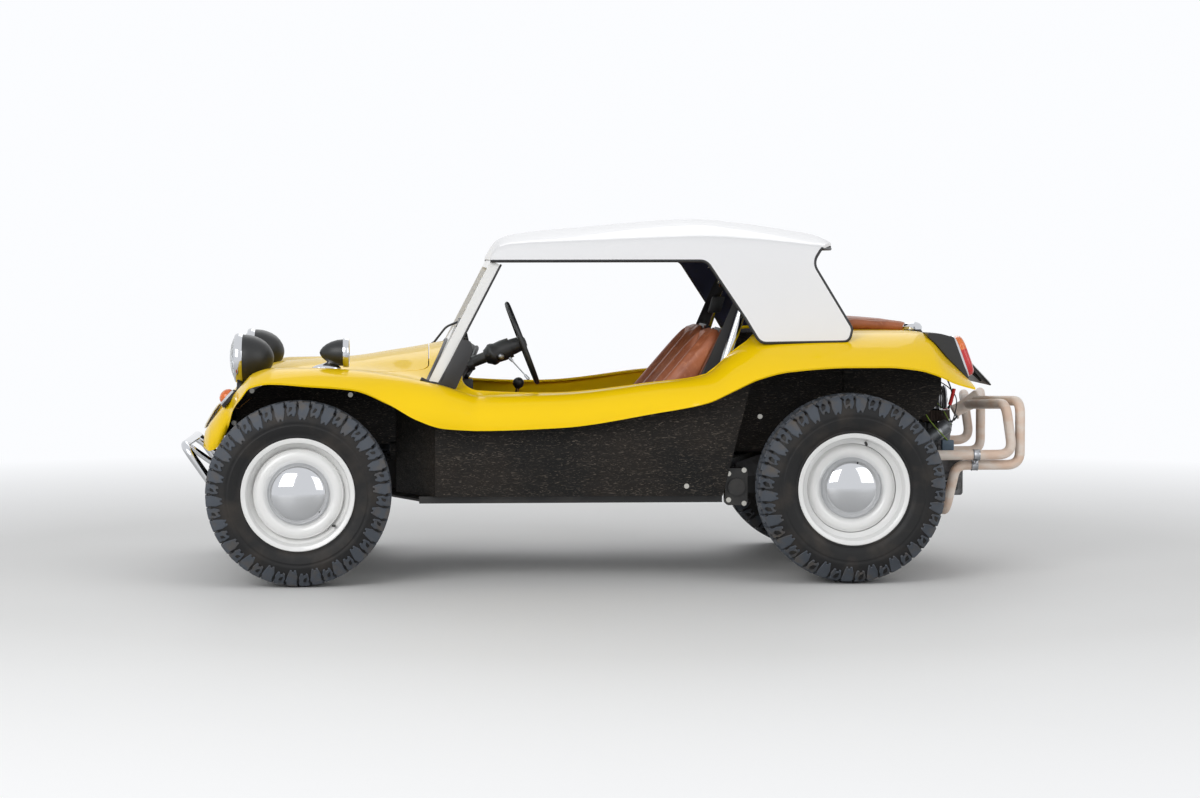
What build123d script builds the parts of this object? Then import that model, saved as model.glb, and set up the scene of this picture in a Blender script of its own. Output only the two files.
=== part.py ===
from build123d import *
import math
import os

# Open dune buggy on a shortened pan, millimetres. X runs rearwards, Y to the vehicle's right, Z up.
# The origin lies on the ground under the middle of the whole vehicle's box.

os.makedirs("parts", exist_ok=True)

# Driving dimensions
FRONT_AXLE = -1145.0
WHEELBASE = 2040.0
FRONT_TYRE_R, FRONT_TYRE_W = 340.0, 215.0
REAR_TYRE_R, REAR_TYRE_W = 350.0, 255.0
FRONT_WHEEL_Y = 692.0
REAR_WHEEL_Y = 672.0
SKIN = 8.0
PAN_BOTTOM = 290.0
PAN_HALF = 600.0
CLEAR = 0.5


def at(station):
    """X of a station measured back from the front axle."""
    return FRONT_AXLE + station


def save(builder, name):
    """Label a finished piece and write it under its node's name."""
    builder.part.label = name
    export_step(builder.part, f"parts/{name}.step")


def side_prism(points, half_width, centre=0.0):
    """Prism whose outline is given in side view, as (station, height), across the vehicle."""
    with BuildPart() as prism:
        with BuildSketch(Plane.XZ.offset(-centre)):
            with BuildLine():
                Polyline([(at(s), z) for s, z in points], close=True)
            make_face()
        extrude(amount=half_width, both=True)
    return prism.part


def plan_prism(points, low, high):
    """Prism whose outline is given in plan, as (station, y), from one height to another."""
    with BuildPart() as prism:
        with BuildSketch(Plane.XY.offset(low)):
            with BuildLine():
                Polyline([(at(s), y) for s, y in points], close=True)
            make_face()
        extrude(amount=high - low)
    return prism.part


def tube_along(points, radius, bend):
    """Round tube along a path of straight runs joined by arcs, given as (station, y, z)."""
    places = [(at(s), y, z) for s, y, z in points]
    with BuildPart() as tube:
        with BuildLine() as path:
            if bend:
                FilletPolyline(*places, radius=bend)
            else:
                Polyline(*places)
        with BuildSketch(Plane(origin=path.line @ 0, z_dir=path.line % 0)):
            Circle(radius)
        sweep()
    return tube.part


# Body skin. Each row is one cross-section, drawn as arcs: the bonnet or deck across the middle,
# a valley, a crown where the wing is level, and the wing's lower edge.
# station, middle height, valley y, valley z, crown y, crown z, edge y, edge z
SKIN_ROWS = [
    (-372, 560, 210, 540, 280, 546, 385, 492),
    (-345, 606, 250, 578, 360, 584, 462, 480),
    (-310, 655, 290, 612, 420, 624, 478, 496),
    (-272, 700, 315, 648, 470, 668, 502, 565),
    (-240, 730, 328, 676, 520, 704, 640, 652),
    (-205, 757, 334, 698, 548, 742, 742, 697),
    (-175, 778, 338, 714, 565, 773, 758, 733),
    (-100, 798, 342, 746, 580, 794, 762, 748),
    (40, 808, 352, 758, 590, 796, 765, 738),
    (200, 822, 384, 758, 600, 788, 765, 724),
    (330, 842, 440, 750, 615, 770, 762, 669),
    (430, 858, 520, 742, 625, 752, 750, 610),
    (530, 876, 575, 722, 632, 728, 735, 576),
    (600, 886, 575, 697, 628, 706, 728, 570),
    (660, 860, 575, 683, 625, 691, 722, 567),
    (960, 760, 575, 690, 625, 697, 722, 577),
    (1300, 790, 575, 728, 622, 736, 730, 628),
    (1500, 820, 560, 756, 608, 765, 750, 669),
    (1600, 880, 520, 832, 560, 842, 768, 716),
    (1690, 922, 400, 902, 450, 910, 780, 760),
    (1800, 932, 370, 918, 420, 926, 785, 788),
    (2034, 934, 370, 920, 420, 928, 788, 804),
    (2158, 934, 370, 920, 420, 928, 788, 804),
    (2281, 932, 370, 919, 425, 927, 786, 792),
    (2340, 926, 380, 913, 435, 921, 782, 775),
    (2420, 844, 390, 830, 450, 838, 772, 742),
    (2495, 762, 400, 750, 460, 757, 745, 722),
]


NOSE_BOTTOM = 486.0
UNDER_BOTTOM = 400.0


def falling_arc(crown, end, inset):
    """Middle and end point of an arc that is level at the crown, moved inwards by a wall."""
    run, drop = end[0] - crown[0], crown[1] - end[1]
    radius = (run * run + drop * drop) / (2 * drop)
    turn = 2 * math.atan2(drop, abs(run))
    reach = math.copysign(radius - inset, run)
    low = crown[1] - radius
    return [(crown[0] + reach * math.sin(a), low + (radius - inset) * math.cos(a)) for a in (turn / 2, turn)]


def skin_outline(row, inset, side):
    """Points of one half of a cross-section: valley, arc middle, crown, arc middle, edge."""
    _, _, valley_y, valley_z, crown_y, crown_z, edge_y, edge_z = row
    valley_mid, valley = falling_arc((crown_y, crown_z), (valley_y, valley_z), inset)
    edge_mid, edge = falling_arc((crown_y, crown_z), (edge_y, edge_z), inset)
    if inset:
        valley = (valley_y, valley_z - 1.1 * inset)
    return [(side * y, z) for y, z in (valley, valley_mid, (crown_y, crown_z - inset), edge_mid, edge)]


def skin_lines(row):
    """Closed outline of the skin at one station, as thick as the moulding."""
    with BuildLine() as outline:
        for inset in (0, SKIN):
            valleys = []
            for side in (1, -1):
                valley, valley_mid, crown, edge_mid, edge = skin_outline(row, inset, side)
                ThreePointArc(valley, valley_mid, crown)
                ThreePointArc(crown, edge_mid, edge)
                valleys.append(valley)
            ThreePointArc(valleys[0], (0, row[1] - inset), valleys[1])
        for side in (1, -1):
            Line(skin_outline(row, 0, side)[4], skin_outline(row, SKIN, side)[4])
    return outline.line


def filled_lines(row, bottom):
    """Outer outline of one cross-section, closed below at one height."""
    with BuildLine() as outline:
        for side in (1, -1):
            valley, valley_mid, crown, edge_mid, edge = skin_outline(row, 0, side)
            ThreePointArc(valley, valley_mid, crown)
            ThreePointArc(crown, edge_mid, edge)
        ThreePointArc(valley, (0, row[1]), (-valley[0], valley[1]))
        Polyline([edge, (edge[0], bottom), (-edge[0], bottom), (-edge[0], edge[1])])
    return outline.line


# The skin, with the front wall of its nose
with BuildPart() as skin:
    for row in SKIN_ROWS:
        with BuildSketch(Plane.YZ.offset(at(row[0]))):
            add(skin_lines(row))
            make_face()
    loft(ruled=True)
    with BuildSketch(Plane.YZ.offset(at(SKIN_ROWS[0][0]))):
        add(filled_lines(SKIN_ROWS[0], NOSE_BOTTOM))
        make_face()
    extrude(amount=SKIN)

# Everything under the skin's outer face, which trims whatever stands on it
with BuildPart() as under_skin:
    for row in SKIN_ROWS:
        with BuildSketch(Plane.YZ.offset(at(row[0]))):
            add(filled_lines(row, UNDER_BOTTOM))
            make_face()
    loft(ruled=True)

# Cockpit opening and bonnet in plan: station, half width
COCKPIT_PLAN = [(600, 540), (640, 562), (1655, 562), (1705, 425), (2035, 425)]
BONNET_PLAN = [(-150, 230), (-60, 300), (330, 400), (470, 450), (480, 440)]
PANEL_GAP = 4.0


def both_sides(rows, shrink=0.0):
    """Closed plan outline from one side's rows and their mirror image."""
    middle = (rows[0][0] + rows[-1][0]) / 2
    half = (rows[-1][0] - rows[0][0]) / 2
    scaled = [(middle + (s - middle) * (half - shrink) / half, y - shrink) for s, y in rows]
    return [(s, y) for s, y in scaled] + [(s, -y) for s, y in reversed(scaled)]


with BuildPart() as cockpit_cut:
    add(plan_prism(both_sides(COCKPIT_PLAN), 400, 1200))

with BuildPart() as bonnet_cut:
    add(plan_prism(both_sides(BONNET_PLAN), 600, 1000))

with BuildPart() as bonnet_blank:
    add(plan_prism(both_sides(BONNET_PLAN, PANEL_GAP), 600, 1000))

with BuildPart() as body_shell:
    add(skin.part)
    add(cockpit_cut.part, mode=Mode.SUBTRACT)
    add(bonnet_cut.part, mode=Mode.SUBTRACT)
save(body_shell, "body_shell")

with BuildPart() as hood:
    add(skin.part)
    add(bonnet_blank.part, mode=Mode.INTERSECT)
save(hood, "hood")

# Lower sides, black, with the splash panel behind the front wheel and the closing panel behind the seat
PANEL = 12.0
SIDE_Y = 640.0
side_face = [(500, 318), (1567, 318), (1672, 735), (1600, 735), (1500, 735), (1300, 712), (960, 674),
             (660, 668), (530, 700), (500, 705)]
splash_wall = [(352, 388), (500, SIDE_Y), (512, SIDE_Y), (364, 388)]
closing_wall = [(1588, SIDE_Y), (1618, 462), (1606, 462), (1576, SIDE_Y)]
COCKPIT_WALL_Y = 568.0
cockpit_face = [(512, 316), (1566, 316), (1566, 430), (1580, 430), (1580, 800), (1500, 744), (1300, 716),
                (960, 678), (660, 671), (600, 685), (512, 700)]

with BuildPart() as side_panels:
    add(side_prism(side_face, PANEL / 2, SIDE_Y + PANEL / 2))
    add(plan_prism(splash_wall, 318, 705))
    add(plan_prism(closing_wall, 425, 735))
    mirror(about=Plane.XZ)
save(side_panels, "side_panels")

# Inner sides of the cockpit, from the floor up to the underside of its rim
with BuildPart() as cockpit_sides:
    add(side_prism(cockpit_face, 4, COCKPIT_WALL_Y))
    mirror(about=Plane.XZ)
save(cockpit_sides, "cockpit_sides")

# Nose tub between the front wheels: side walls, bulkhead behind them and a tray
TUB_HALF = 385.0
with BuildPart() as front_bulkhead:
    add(side_prism([(-250, 500), (410, 500), (410, 735), (40, 735), (-100, 728), (-175, 700), (-250, 655)],
                     5, TUB_HALF - 5))
    mirror(about=Plane.XZ)
    add(side_prism([(-250, 500), (410, 500), (410, 510), (-250, 510)], TUB_HALF))
    add(side_prism([(400, 442), (410, 442), (410, 735), (400, 735)], TUB_HALF))

# Steering column, straight from the wheel to its box
COLUMN_Y = -330.0
WHEEL_HUB = (831.0, 878.0)
COLUMN_TILT = 21.0
column_dir = Vector(-math.cos(math.radians(COLUMN_TILT)), 0, -math.sin(math.radians(COLUMN_TILT)))
hub_centre = Vector(at(WHEEL_HUB[0]), COLUMN_Y, WHEEL_HUB[1])
COLUMN_LENGTH = 830.0

with BuildPart() as column_hole:
    with BuildSketch(Plane(origin=hub_centre, z_dir=column_dir)):
        Circle(32)
    extrude(amount=COLUMN_LENGTH + 40)

PITMAN_Y = -290.0
with BuildPart() as box_hole:
    with BuildSketch(Plane.XY.offset(490)):
        with Locations((at(0), PITMAN_Y)):
            Circle(30)
    extrude(amount=40)

with front_bulkhead:
    add(column_hole.part, mode=Mode.SUBTRACT)
    add(box_hole.part, mode=Mode.SUBTRACT)
save(front_bulkhead, "front_bulkhead")

with BuildPart() as steering_column:
    with BuildSketch(Plane(origin=hub_centre + column_dir * 60, z_dir=column_dir)):
        Circle(21)
    extrude(amount=COLUMN_LENGTH - 60)
    with BuildSketch(Plane.XY.offset(515)):
        with Locations((at(10), -310)):
            Rectangle(110, 90)
    extrude(amount=85)
    with BuildSketch(Plane.XY.offset(470)):
        with Locations((at(0), PITMAN_Y)):
            Circle(18)
    extrude(amount=60)
save(steering_column, "steering_column")

# Rear tub round the back seat, the firewall in front of the engine and the panels beside the engine bay
REAR_TUB_HALF = 452.0
bay_face = [(2046, 560), (2300, 560), (2400, 640), (2418, 700), (2418, 818), (2336, 901), (2046, 908)]
with BuildPart() as rear_bulkhead:
    add(side_prism([(1604, 470), (2046, 470), (2046, 900), (1720, 895), (1604, 800)], 5, REAR_TUB_HALF))
    add(side_prism(bay_face, 4, REAR_TUB_HALF + 9))
    mirror(about=Plane.XZ)
    add(side_prism([(1604, 470), (2046, 470), (2046, 480), (1604, 480)], REAR_TUB_HALF - 5))
    add(side_prism([(2046, 470), (2056, 470), (2056, 905), (2046, 905)], REAR_TUB_HALF + 5))
save(rear_bulkhead, "rear_bulkhead")

# Floor pan with its rails, centre tunnel and frame head
PAN_PLAN = [(330, 370), (440, PAN_HALF), (1568, PAN_HALF)]
with BuildPart() as floor_pan:
    add(plan_prism(both_sides(PAN_PLAN), PAN_BOTTOM + 8, PAN_BOTTOM + 16))
    with BuildSketch(Plane.XY.offset(PAN_BOTTOM)):
        with Locations((at(1005), PAN_HALF - 20), (at(1005), -PAN_HALF + 20)):
            Rectangle(1130, 40)
    extrude(amount=26)
    add(side_prism([(-110, 300), (1568, 300), (1568, 440), (340, 440), (300, 395), (-110, 395)], 75))
save(floor_pan, "floor_pan")

# Front beam: two cross tubes, their towers and the clamps to the frame head
BEAM_STATION = -155.0
BEAM_Z = (265.0, 415.0)
BEAM_HALF = 434.0
BUMPER_Y, BRACE_Y = 290.0, 200.0
with BuildPart() as front_beam:
    for beam_z in BEAM_Z:
        with BuildSketch(Plane.XZ.offset(-BEAM_HALF)):
            with Locations((at(BEAM_STATION), beam_z)):
                Circle(32)
        extrude(amount=2 * BEAM_HALF)
    for tower_y in (-405, 405):
        add(side_prism([(-190, 240), (-125, 240), (-120, 480), (-140, 600), (-175, 600), (-190, 480)],
                         12, tower_y))
    for brace_y in (-90, 90):
        add(side_prism([(-165, 265), (-112, 300), (-112, 395), (-165, 415)], 8, brace_y))
    for seat_y, seat_z in ((BUMPER_Y, BEAM_Z[0]), (BRACE_Y, BEAM_Z[1])):
        with BuildSketch(Plane.XY.offset(seat_z - 22)):
            with Locations((at(-178), seat_y), (at(-178), -seat_y)):
                Rectangle(44, 46)
        extrude(amount=44)
save(front_beam, "front_beam")

# Trailing arms, carrier eyes and dampers, left and right
KINGPIN_Y = 575.0
KINGPIN_R = 11.0
WHEEL_Z = FRONT_TYRE_R
with BuildPart() as front_suspension:
    for beam_z in BEAM_Z:
        add(plan_prism([(-185, BEAM_HALF), (-125, BEAM_HALF), (12, KINGPIN_Y - 18), (-12, KINGPIN_Y + 18),
                        (-150, 468), (-185, 468)], beam_z - 12, beam_z + 12))
        with BuildSketch(Plane.XY.offset(beam_z - 12)):
            with Locations((at(0), KINGPIN_Y)):
                Circle(26)
        extrude(amount=24)
        with BuildSketch(Plane.XY.offset(beam_z - 14)):
            with Locations((at(0), KINGPIN_Y)):
                Circle(KINGPIN_R + CLEAR)
        extrude(amount=28, mode=Mode.SUBTRACT)
    add(tube_along([(-160, 452, 270), (-160, 452, 480)], 9, 0))
    add(tube_along([(-160, 460, 450), (-160, 460, 600)], 24, 0))
    add(tube_along([(-160, 460, 588), (-160, 417, 588)], 9, 0))
    mirror(about=Plane.XZ)
save(front_suspension, "front_suspension")

# Steering knuckles: kingpin, stub axle, backing plate and the arm on top for the tie rod
ARM_REACH, ARM_INSET = 120.0, 20.0
ARM_LOW, ARM_HIGH = 446.0, 460.0
PIN_R = 6.0
EYE_HEIGHT = 16.0
BACKING_Y = 612.0
STUB_R = 16.0
ROD_Z = {"left": 432.0, "right": 474.0}
SIDES = {"left": -1, "right": 1}
for name, side in SIDES.items():
    with BuildPart() as knuckle:
        with BuildSketch(Plane.XY.offset(248)):
            with Locations((at(0), side * KINGPIN_Y)):
                Circle(KINGPIN_R)
        extrude(amount=ARM_HIGH - 248)
        with BuildSketch(Plane.XY.offset(281)):
            with Locations((at(0), side * KINGPIN_Y)):
                Circle(23)
        extrude(amount=118)
        with BuildSketch(Plane.XZ.offset(-side * KINGPIN_Y)):
            with Locations((at(0), WHEEL_Z)):
                Circle(STUB_R)
        extrude(amount=-side * 130)
        with BuildSketch(Plane.XZ.offset(-side * BACKING_Y)):
            with Locations((at(0), WHEEL_Z)):
                Circle(118)
        extrude(amount=-side * 5)
        rod_y = side * (KINGPIN_Y - ARM_INSET)
        with BuildSketch(Plane.XY.offset(ARM_LOW)):
            with BuildLine():
                Polyline([(at(-14), side * (KINGPIN_Y + 12)), (at(-14), side * (KINGPIN_Y - 14)),
                          (at(ARM_REACH - 6), rod_y - side * 12), (at(ARM_REACH + 12), rod_y - side * 6),
                          (at(ARM_REACH + 10), rod_y + side * 12)], close=True)
            make_face()
        extrude(amount=ARM_HIGH - ARM_LOW)
        pin_low, pin_high = sorted((ROD_Z[name] + side * 9, (ARM_LOW + ARM_HIGH) / 2))
        with BuildSketch(Plane.XY.offset(pin_low)):
            with Locations((at(ARM_REACH), rod_y)):
                Circle(PIN_R)
        extrude(amount=pin_high - pin_low)
    save(knuckle, f"knuckle_{name}")

# Pitman arm, with one pin down for the short rod and one pin up for the long rod
with BuildPart() as pitman_arm:
    add(plan_prism([(-20, PITMAN_Y - 16), (-20, PITMAN_Y + 16), (ARM_REACH + 12, PITMAN_Y + 34),
                      (ARM_REACH + 12, PITMAN_Y - 34)], ARM_LOW, ARM_HIGH))
    for name, side in SIDES.items():
        pin_low, pin_high = sorted((ROD_Z[name] + side * 9, (ARM_LOW + ARM_HIGH) / 2))
        with BuildSketch(Plane.XY.offset(pin_low)):
            with Locations((at(ARM_REACH), PITMAN_Y - side * ARM_INSET)):
                Circle(PIN_R)
        extrude(amount=pin_high - pin_low)
save(pitman_arm, "pitman_arm")

for name, side in SIDES.items():
    outer_y = side * (KINGPIN_Y - ARM_INSET)
    inner_y = PITMAN_Y - side * ARM_INSET
    rod_z = ROD_Z[name]
    with BuildPart() as tie_rod:
        with BuildSketch(Plane.XY.offset(rod_z - EYE_HEIGHT / 2)):
            with Locations((at(ARM_REACH), outer_y), (at(ARM_REACH), inner_y)):
                Circle(15)
        extrude(amount=EYE_HEIGHT)
        low_y, high_y = sorted((outer_y, inner_y))
        with BuildSketch(Plane.XZ.offset(-(low_y + 8))):
            with Locations((at(ARM_REACH), rod_z)):
                Circle(6)
        extrude(amount=-(high_y - low_y - 16))
        with BuildSketch(Plane.XY.offset(rod_z - 12)):
            with Locations((at(ARM_REACH), outer_y)):
                Circle(PIN_R + CLEAR)
            with Locations((at(ARM_REACH), inner_y)):
                Circle(PIN_R + 2)
        extrude(amount=24, mode=Mode.SUBTRACT)
    save(tie_rod, f"tie_rod_{name}")

# Torsion bar housing with its end covers
TORSION_STATION, TORSION_Z = 1621.0, 349.0
with BuildPart() as torsion_housing:
    with BuildSketch(Plane.XZ.offset(-560)):
        with Locations((at(TORSION_STATION), TORSION_Z)):
            Circle(48)
    extrude(amount=1120)
    for cover_y in (-590, 590):
        with BuildSketch(Plane.XZ.offset(-cover_y)):
            with Locations((at(TORSION_STATION), TORSION_Z)):
                RectangleRounded(84, 138, 14)
        extrude(amount=30, both=True)
    with BuildSketch(Plane.XZ.offset(-632)):
        with Locations((at(TORSION_STATION), TORSION_Z)):
            Circle(32)
    extrude(amount=1264)
save(torsion_housing, "torsion_housing")

# Spring plates, axle tubes, hubs and dampers
REAR_STATION = WHEELBASE
REAR_Z = REAR_TYRE_R
with BuildPart() as rear_suspension:
    add(side_prism([(1672, 380), (1672, 320), (1980, 300), (2060, 300), (2060, 410), (1980, 410)], 5, 524))
    with BuildSketch(Plane.XZ.offset(-150)):
        with Locations((at(REAR_STATION), REAR_Z)):
            Circle(36)
    extrude(amount=-400)
    with BuildSketch(Plane.XZ.offset(-550)):
        with Locations((at(REAR_STATION), REAR_Z)):
            Circle(118)
    extrude(amount=-6)
    with BuildSketch(Plane.XZ.offset(-550)):
        with Locations((at(REAR_STATION), REAR_Z)):
            Circle(STUB_R)
    extrude(amount=-100)
    add(tube_along([(2085, 500, 330), (2130, 500, 560)], 9, 0))
    add(tube_along([(2110, 500, 460), (2150, 500, 680)], 27, 0))
    mirror(about=Plane.XZ)
save(rear_suspension, "rear_suspension")

with BuildPart() as transaxle:
    add(side_prism([(1675, 330), (1760, 290), (1960, 270), (2140, 250), (2140, 480), (1960, 450), (1760, 430),
                      (1675, 400)], 95))
    with BuildSketch(Plane.XZ.offset(-149)):
        with Locations((at(REAR_STATION), REAR_Z)):
            Circle(85)
    extrude(amount=298)
save(transaxle, "transaxle")

# Flat four-cylinder engine: split case with its sump, finned barrels, heads and rounded valve covers
CASE_FRONT, CASE_REAR = 2142.0, 2520.0
FIN_START, FIN_GAP, FIN_THICK = 130.0, 11.0, 3.0
HEAD_Y, COVER_Y = 290.0, 372.0
with BuildPart() as engine:
    add(side_prism([(CASE_FRONT, 262), (2180, 250), (2480, 250), (CASE_REAR, 300), (CASE_REAR, 440), (2490, 470),
                    (CASE_FRONT, 470)], 120))
    with BuildSketch(Plane.XZ.offset(-HEAD_Y)):
        with Locations((at(2330), 370), (at(2460), 370)):
            Circle(50)
    extrude(amount=2 * HEAD_Y)
    for side in (1, -1):
        for fin in range(13):
            with BuildSketch(Plane.XZ.offset(side * (FIN_START + FIN_GAP * fin))):
                with Locations((at(2395), 370)):
                    RectangleRounded(252, 128, 20)
            extrude(amount=side * FIN_THICK)
        with BuildSketch(Plane.XZ.offset(side * 275)):
            with Locations((at(2395), 362)):
                RectangleRounded(262, 144, 12)
        extrude(amount=side * 65)
        with BuildSketch(Plane.XZ.offset(side * 340)):
            with Locations((at(2400), 335)):
                RectangleRounded(240, 88, 24)
        extrude(amount=side * (COVER_Y - 340), taper=12)
save(engine, "engine")

# Fan housing, an arch of sheet steel over the case, with the generator behind it on its stand
SHROUD_FRONT, SHROUD_DEPTH = 2235.0, 115.0
GENERATOR_Z = 640.0
with BuildPart() as fan_shroud:
    with BuildSketch(Plane.YZ.offset(at(SHROUD_FRONT))):
        with BuildLine():
            Polyline([(-330, 470), (-330, 540), (-170, 600)])
            ThreePointArc((-170, 600), (0, 800), (170, 600))
            Polyline([(170, 600), (330, 540), (330, 470), (-330, 470)])
        make_face()
    extrude(amount=SHROUD_DEPTH)
    with BuildSketch(Plane.YZ.offset(at(SHROUD_FRONT + SHROUD_DEPTH))):
        with Locations((0, GENERATOR_Z)):
            Circle(78)
    extrude(amount=18)
    with BuildSketch(Plane.YZ.offset(at(SHROUD_FRONT + SHROUD_DEPTH))):
        with Locations((0, GENERATOR_Z)):
            Circle(53)
    extrude(amount=138)
    add(side_prism([(2385, 470), (2455, 470), (2445, 600), (2395, 600)], 26))
save(fan_shroud, "fan_shroud")

# Pulleys with their grooves, carburettor with its air filter, intake runners, coil and oil cooler duct
with BuildPart() as engine_fittings:
    for groove_plane, pulley_z, pulley_r in ((CASE_REAR, 372, 86), (2490, GENERATOR_Z, 58)):
        for start, depth, radius in ((0, 8, pulley_r), (8, 10, pulley_r - 12), (18, 8, pulley_r)):
            with BuildSketch(Plane.YZ.offset(at(groove_plane + start))):
                with Locations((0, pulley_z)):
                    Circle(radius)
            extrude(amount=depth)
    with BuildSketch(Plane.XY.offset(470)):
        with Locations((at(2440), -190), (at(2440), 190)):
            RectangleRounded(70, 60, 10)
    extrude(amount=95)
    with BuildSketch(Plane.XY.offset(565)):
        with Locations((at(2440), -190), (at(2440), 190)):
            Circle(62)
    extrude(amount=55)
    add(tube_along([(2400, -270, 500), (2492, -270, 566)], 30, 0))
    add(tube_along([(2440, -270, 440), (2440, -270, 530)], 9, 0))
save(engine_fittings, "engine_fittings")

# Four-pipe exhaust header: two loops on each side that meet in the collector behind the engine
PIPE_R, PIPE_BEND = 19.0, 45.0
COLLECTOR_R = 34.0
FRONT_LOOP = [
    (2300, -300, 289),
    (2300, -300, 236),
    (2300, -425, 236),
    (2366, -435, 450),
    (2700, -435, 452),
    (2672, -435, 646),
    (2604, 0, 622),
]
REAR_LOOP = [
    (2450, -300, 289),
    (2450, -300, 236),
    (2450, -394, 236),
    (2490, -394, 410),
    (2736, -394, 410),
    (2736, -394, 655),
    (2630, 0, 637),
]
with BuildPart() as exhaust:
    add(tube_along(FRONT_LOOP, PIPE_R, PIPE_BEND))
    add(tube_along(REAR_LOOP, PIPE_R, PIPE_BEND))
    mirror(about=Plane.XZ)
    add(tube_along([(2540, 0, 586), (2650, 0, 648)], COLLECTOR_R, 0))
save(exhaust, "exhaust")

# Windscreen frame and glass, leaning back from the cowl
SCREEN_TILT = 27.5
SCREEN_FOOT = (492.0, 731.0)
SCREEN_TOP = 510.0
SCREEN_BAR = 32.0
SCREEN_THICK = 40.0
SCREEN_SINK = 28.0
lean = math.radians(SCREEN_TILT)
screen_plane = Plane(origin=(at(SCREEN_FOOT[0]), 0, SCREEN_FOOT[1]), x_dir=(0, 1, 0),
                     z_dir=(math.cos(lean), 0, -math.sin(lean)))


def screen_lines(inset, sink=0.0):
    """Outline of the screen: arched foot over the cowl, straight pillars and header."""
    foot, head, top = 598 - inset, 572 - inset, SCREEN_TOP - inset
    low, crown = 14 + inset - sink, 186 + inset - sink
    with BuildLine() as outline:
        ThreePointArc((-foot, low), (0, crown), (foot, low))
        Polyline([(foot, low), (head, top), (-head, top), (-foot, low)])
    return outline.line


with BuildPart() as windscreen_frame:
    with BuildSketch(screen_plane.offset(-SCREEN_THICK / 2)):
        add(screen_lines(0, SCREEN_SINK))
        make_face()
    extrude(amount=SCREEN_THICK)
    with BuildSketch(screen_plane.offset(-SCREEN_THICK)):
        add(screen_lines(SCREEN_BAR))
        make_face()
    extrude(amount=2 * SCREEN_THICK, mode=Mode.SUBTRACT)
    add(under_skin.part, mode=Mode.SUBTRACT)
save(windscreen_frame, "windscreen_frame")

# Hardtop: roof shell, quarter panels and back panel with its window
# station, middle height, shoulder height, edge height
ROOF_ROWS = [
    (708, 1204, 1200, 1191),
    (735, 1262, 1238, 1191),
    (790, 1290, 1250, 1191),
    (1094, 1324, 1264, 1191),
    (1407, 1350, 1276, 1191),
    (1511, 1354, 1278, 1191),
    (1971, 1294, 1240, 1191),
    (2003, 1279, 1232, 1191),
    (2032, 1236, 1210, 1191),
]
ROOF_WALL = 12.0
ROOF_EDGE_Y, ROOF_SHOULDER_Y = 592.0, 572.0


def roof_lines(row):
    """Closed outline of the roof at one station."""
    _, middle, shoulder, edge = row
    with BuildLine() as outline:
        for inset in (0, ROOF_WALL):
            edge_y, shoulder_y = ROOF_EDGE_Y - inset, ROOF_SHOULDER_Y - inset
            shoulder_z = max(shoulder - inset, edge + 2)
            ThreePointArc((shoulder_y, shoulder_z), (0, middle - inset), (-shoulder_y, shoulder_z))
            for side in (1, -1):
                Line((side * shoulder_y, shoulder_z), (side * edge_y, edge))
        for side in (1, -1):
            Line((side * ROOF_EDGE_Y, edge), (side * (ROOF_EDGE_Y - ROOF_WALL), edge))
    return outline.line


QUARTER_FOOT_Y, QUARTER_FOOT_Z = 640.0, 889.0
quarter_lean = math.atan2(QUARTER_FOOT_Y - ROOF_EDGE_Y, 1191 - QUARTER_FOOT_Z)
quarter_plane = Plane(origin=(0, -QUARTER_FOOT_Y, QUARTER_FOOT_Z), x_dir=(1, 0, 0),
                      z_dir=(0, -math.cos(quarter_lean), math.sin(quarter_lean)))
# Quarter panel outline, station and height
QUARTER = [(1484, 1200), (1527, 1183), (1558, 1145), (1658, 972), (1702, 898), (1733, 889), (2014, 893),
           (2049, 922), (2045, 953), (1938, 1127), (1915, 1180), (1915, 1200)]
BACK_TOP, BACK_FOOT = (1915.0, 1188.0), (2034.0, 950.0)
back_lean = math.atan2(BACK_FOOT[0] - BACK_TOP[0], BACK_TOP[1] - BACK_FOOT[1])
back_plane = Plane(origin=(at(BACK_FOOT[0]), 0, BACK_FOOT[1]), x_dir=(0, 1, 0),
                   z_dir=(math.cos(back_lean), 0, math.sin(back_lean)))
BACK_HEIGHT = math.hypot(BACK_FOOT[0] - BACK_TOP[0], BACK_TOP[1] - BACK_FOOT[1])
WINDOW = (760.0, 170.0, 40.0)

with BuildPart() as hardtop:
    for row in ROOF_ROWS:
        with BuildSketch(Plane.YZ.offset(at(row[0]))):
            add(roof_lines(row))
            make_face()
    loft(ruled=True)
    for mirrored in (False, True):
        with BuildSketch(quarter_plane):
            with BuildLine():
                Polyline([(at(s), (z - QUARTER_FOOT_Z) / math.cos(quarter_lean)) for s, z in QUARTER],
                         close=True)
            make_face()
        extrude(amount=-ROOF_WALL)
        if not mirrored:
            mirror(about=Plane.XZ)
    with BuildSketch(back_plane):
        with BuildLine():
            Polyline([(-620, 0), (620, 0), (584, BACK_HEIGHT + 8), (-584, BACK_HEIGHT + 8)], close=True)
        make_face()
        with Locations((0, BACK_HEIGHT / 2)):
            RectangleRounded(WINDOW[0], WINDOW[1], WINDOW[2], mode=Mode.SUBTRACT)
    extrude(amount=-ROOF_WALL)
save(hardtop, "hardtop")

with BuildPart() as window_glass:
    with BuildSketch(screen_plane.offset(-2.5)):
        add(screen_lines(SCREEN_BAR + CLEAR))
        make_face()
    extrude(amount=5)
    with BuildSketch(back_plane.offset(-4)):
        with Locations((0, BACK_HEIGHT / 2)):
            RectangleRounded(WINDOW[0] - 2 * CLEAR, WINDOW[1] - 2 * CLEAR, WINDOW[2])
    extrude(amount=-4)
save(window_glass, "window_glass")

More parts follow.
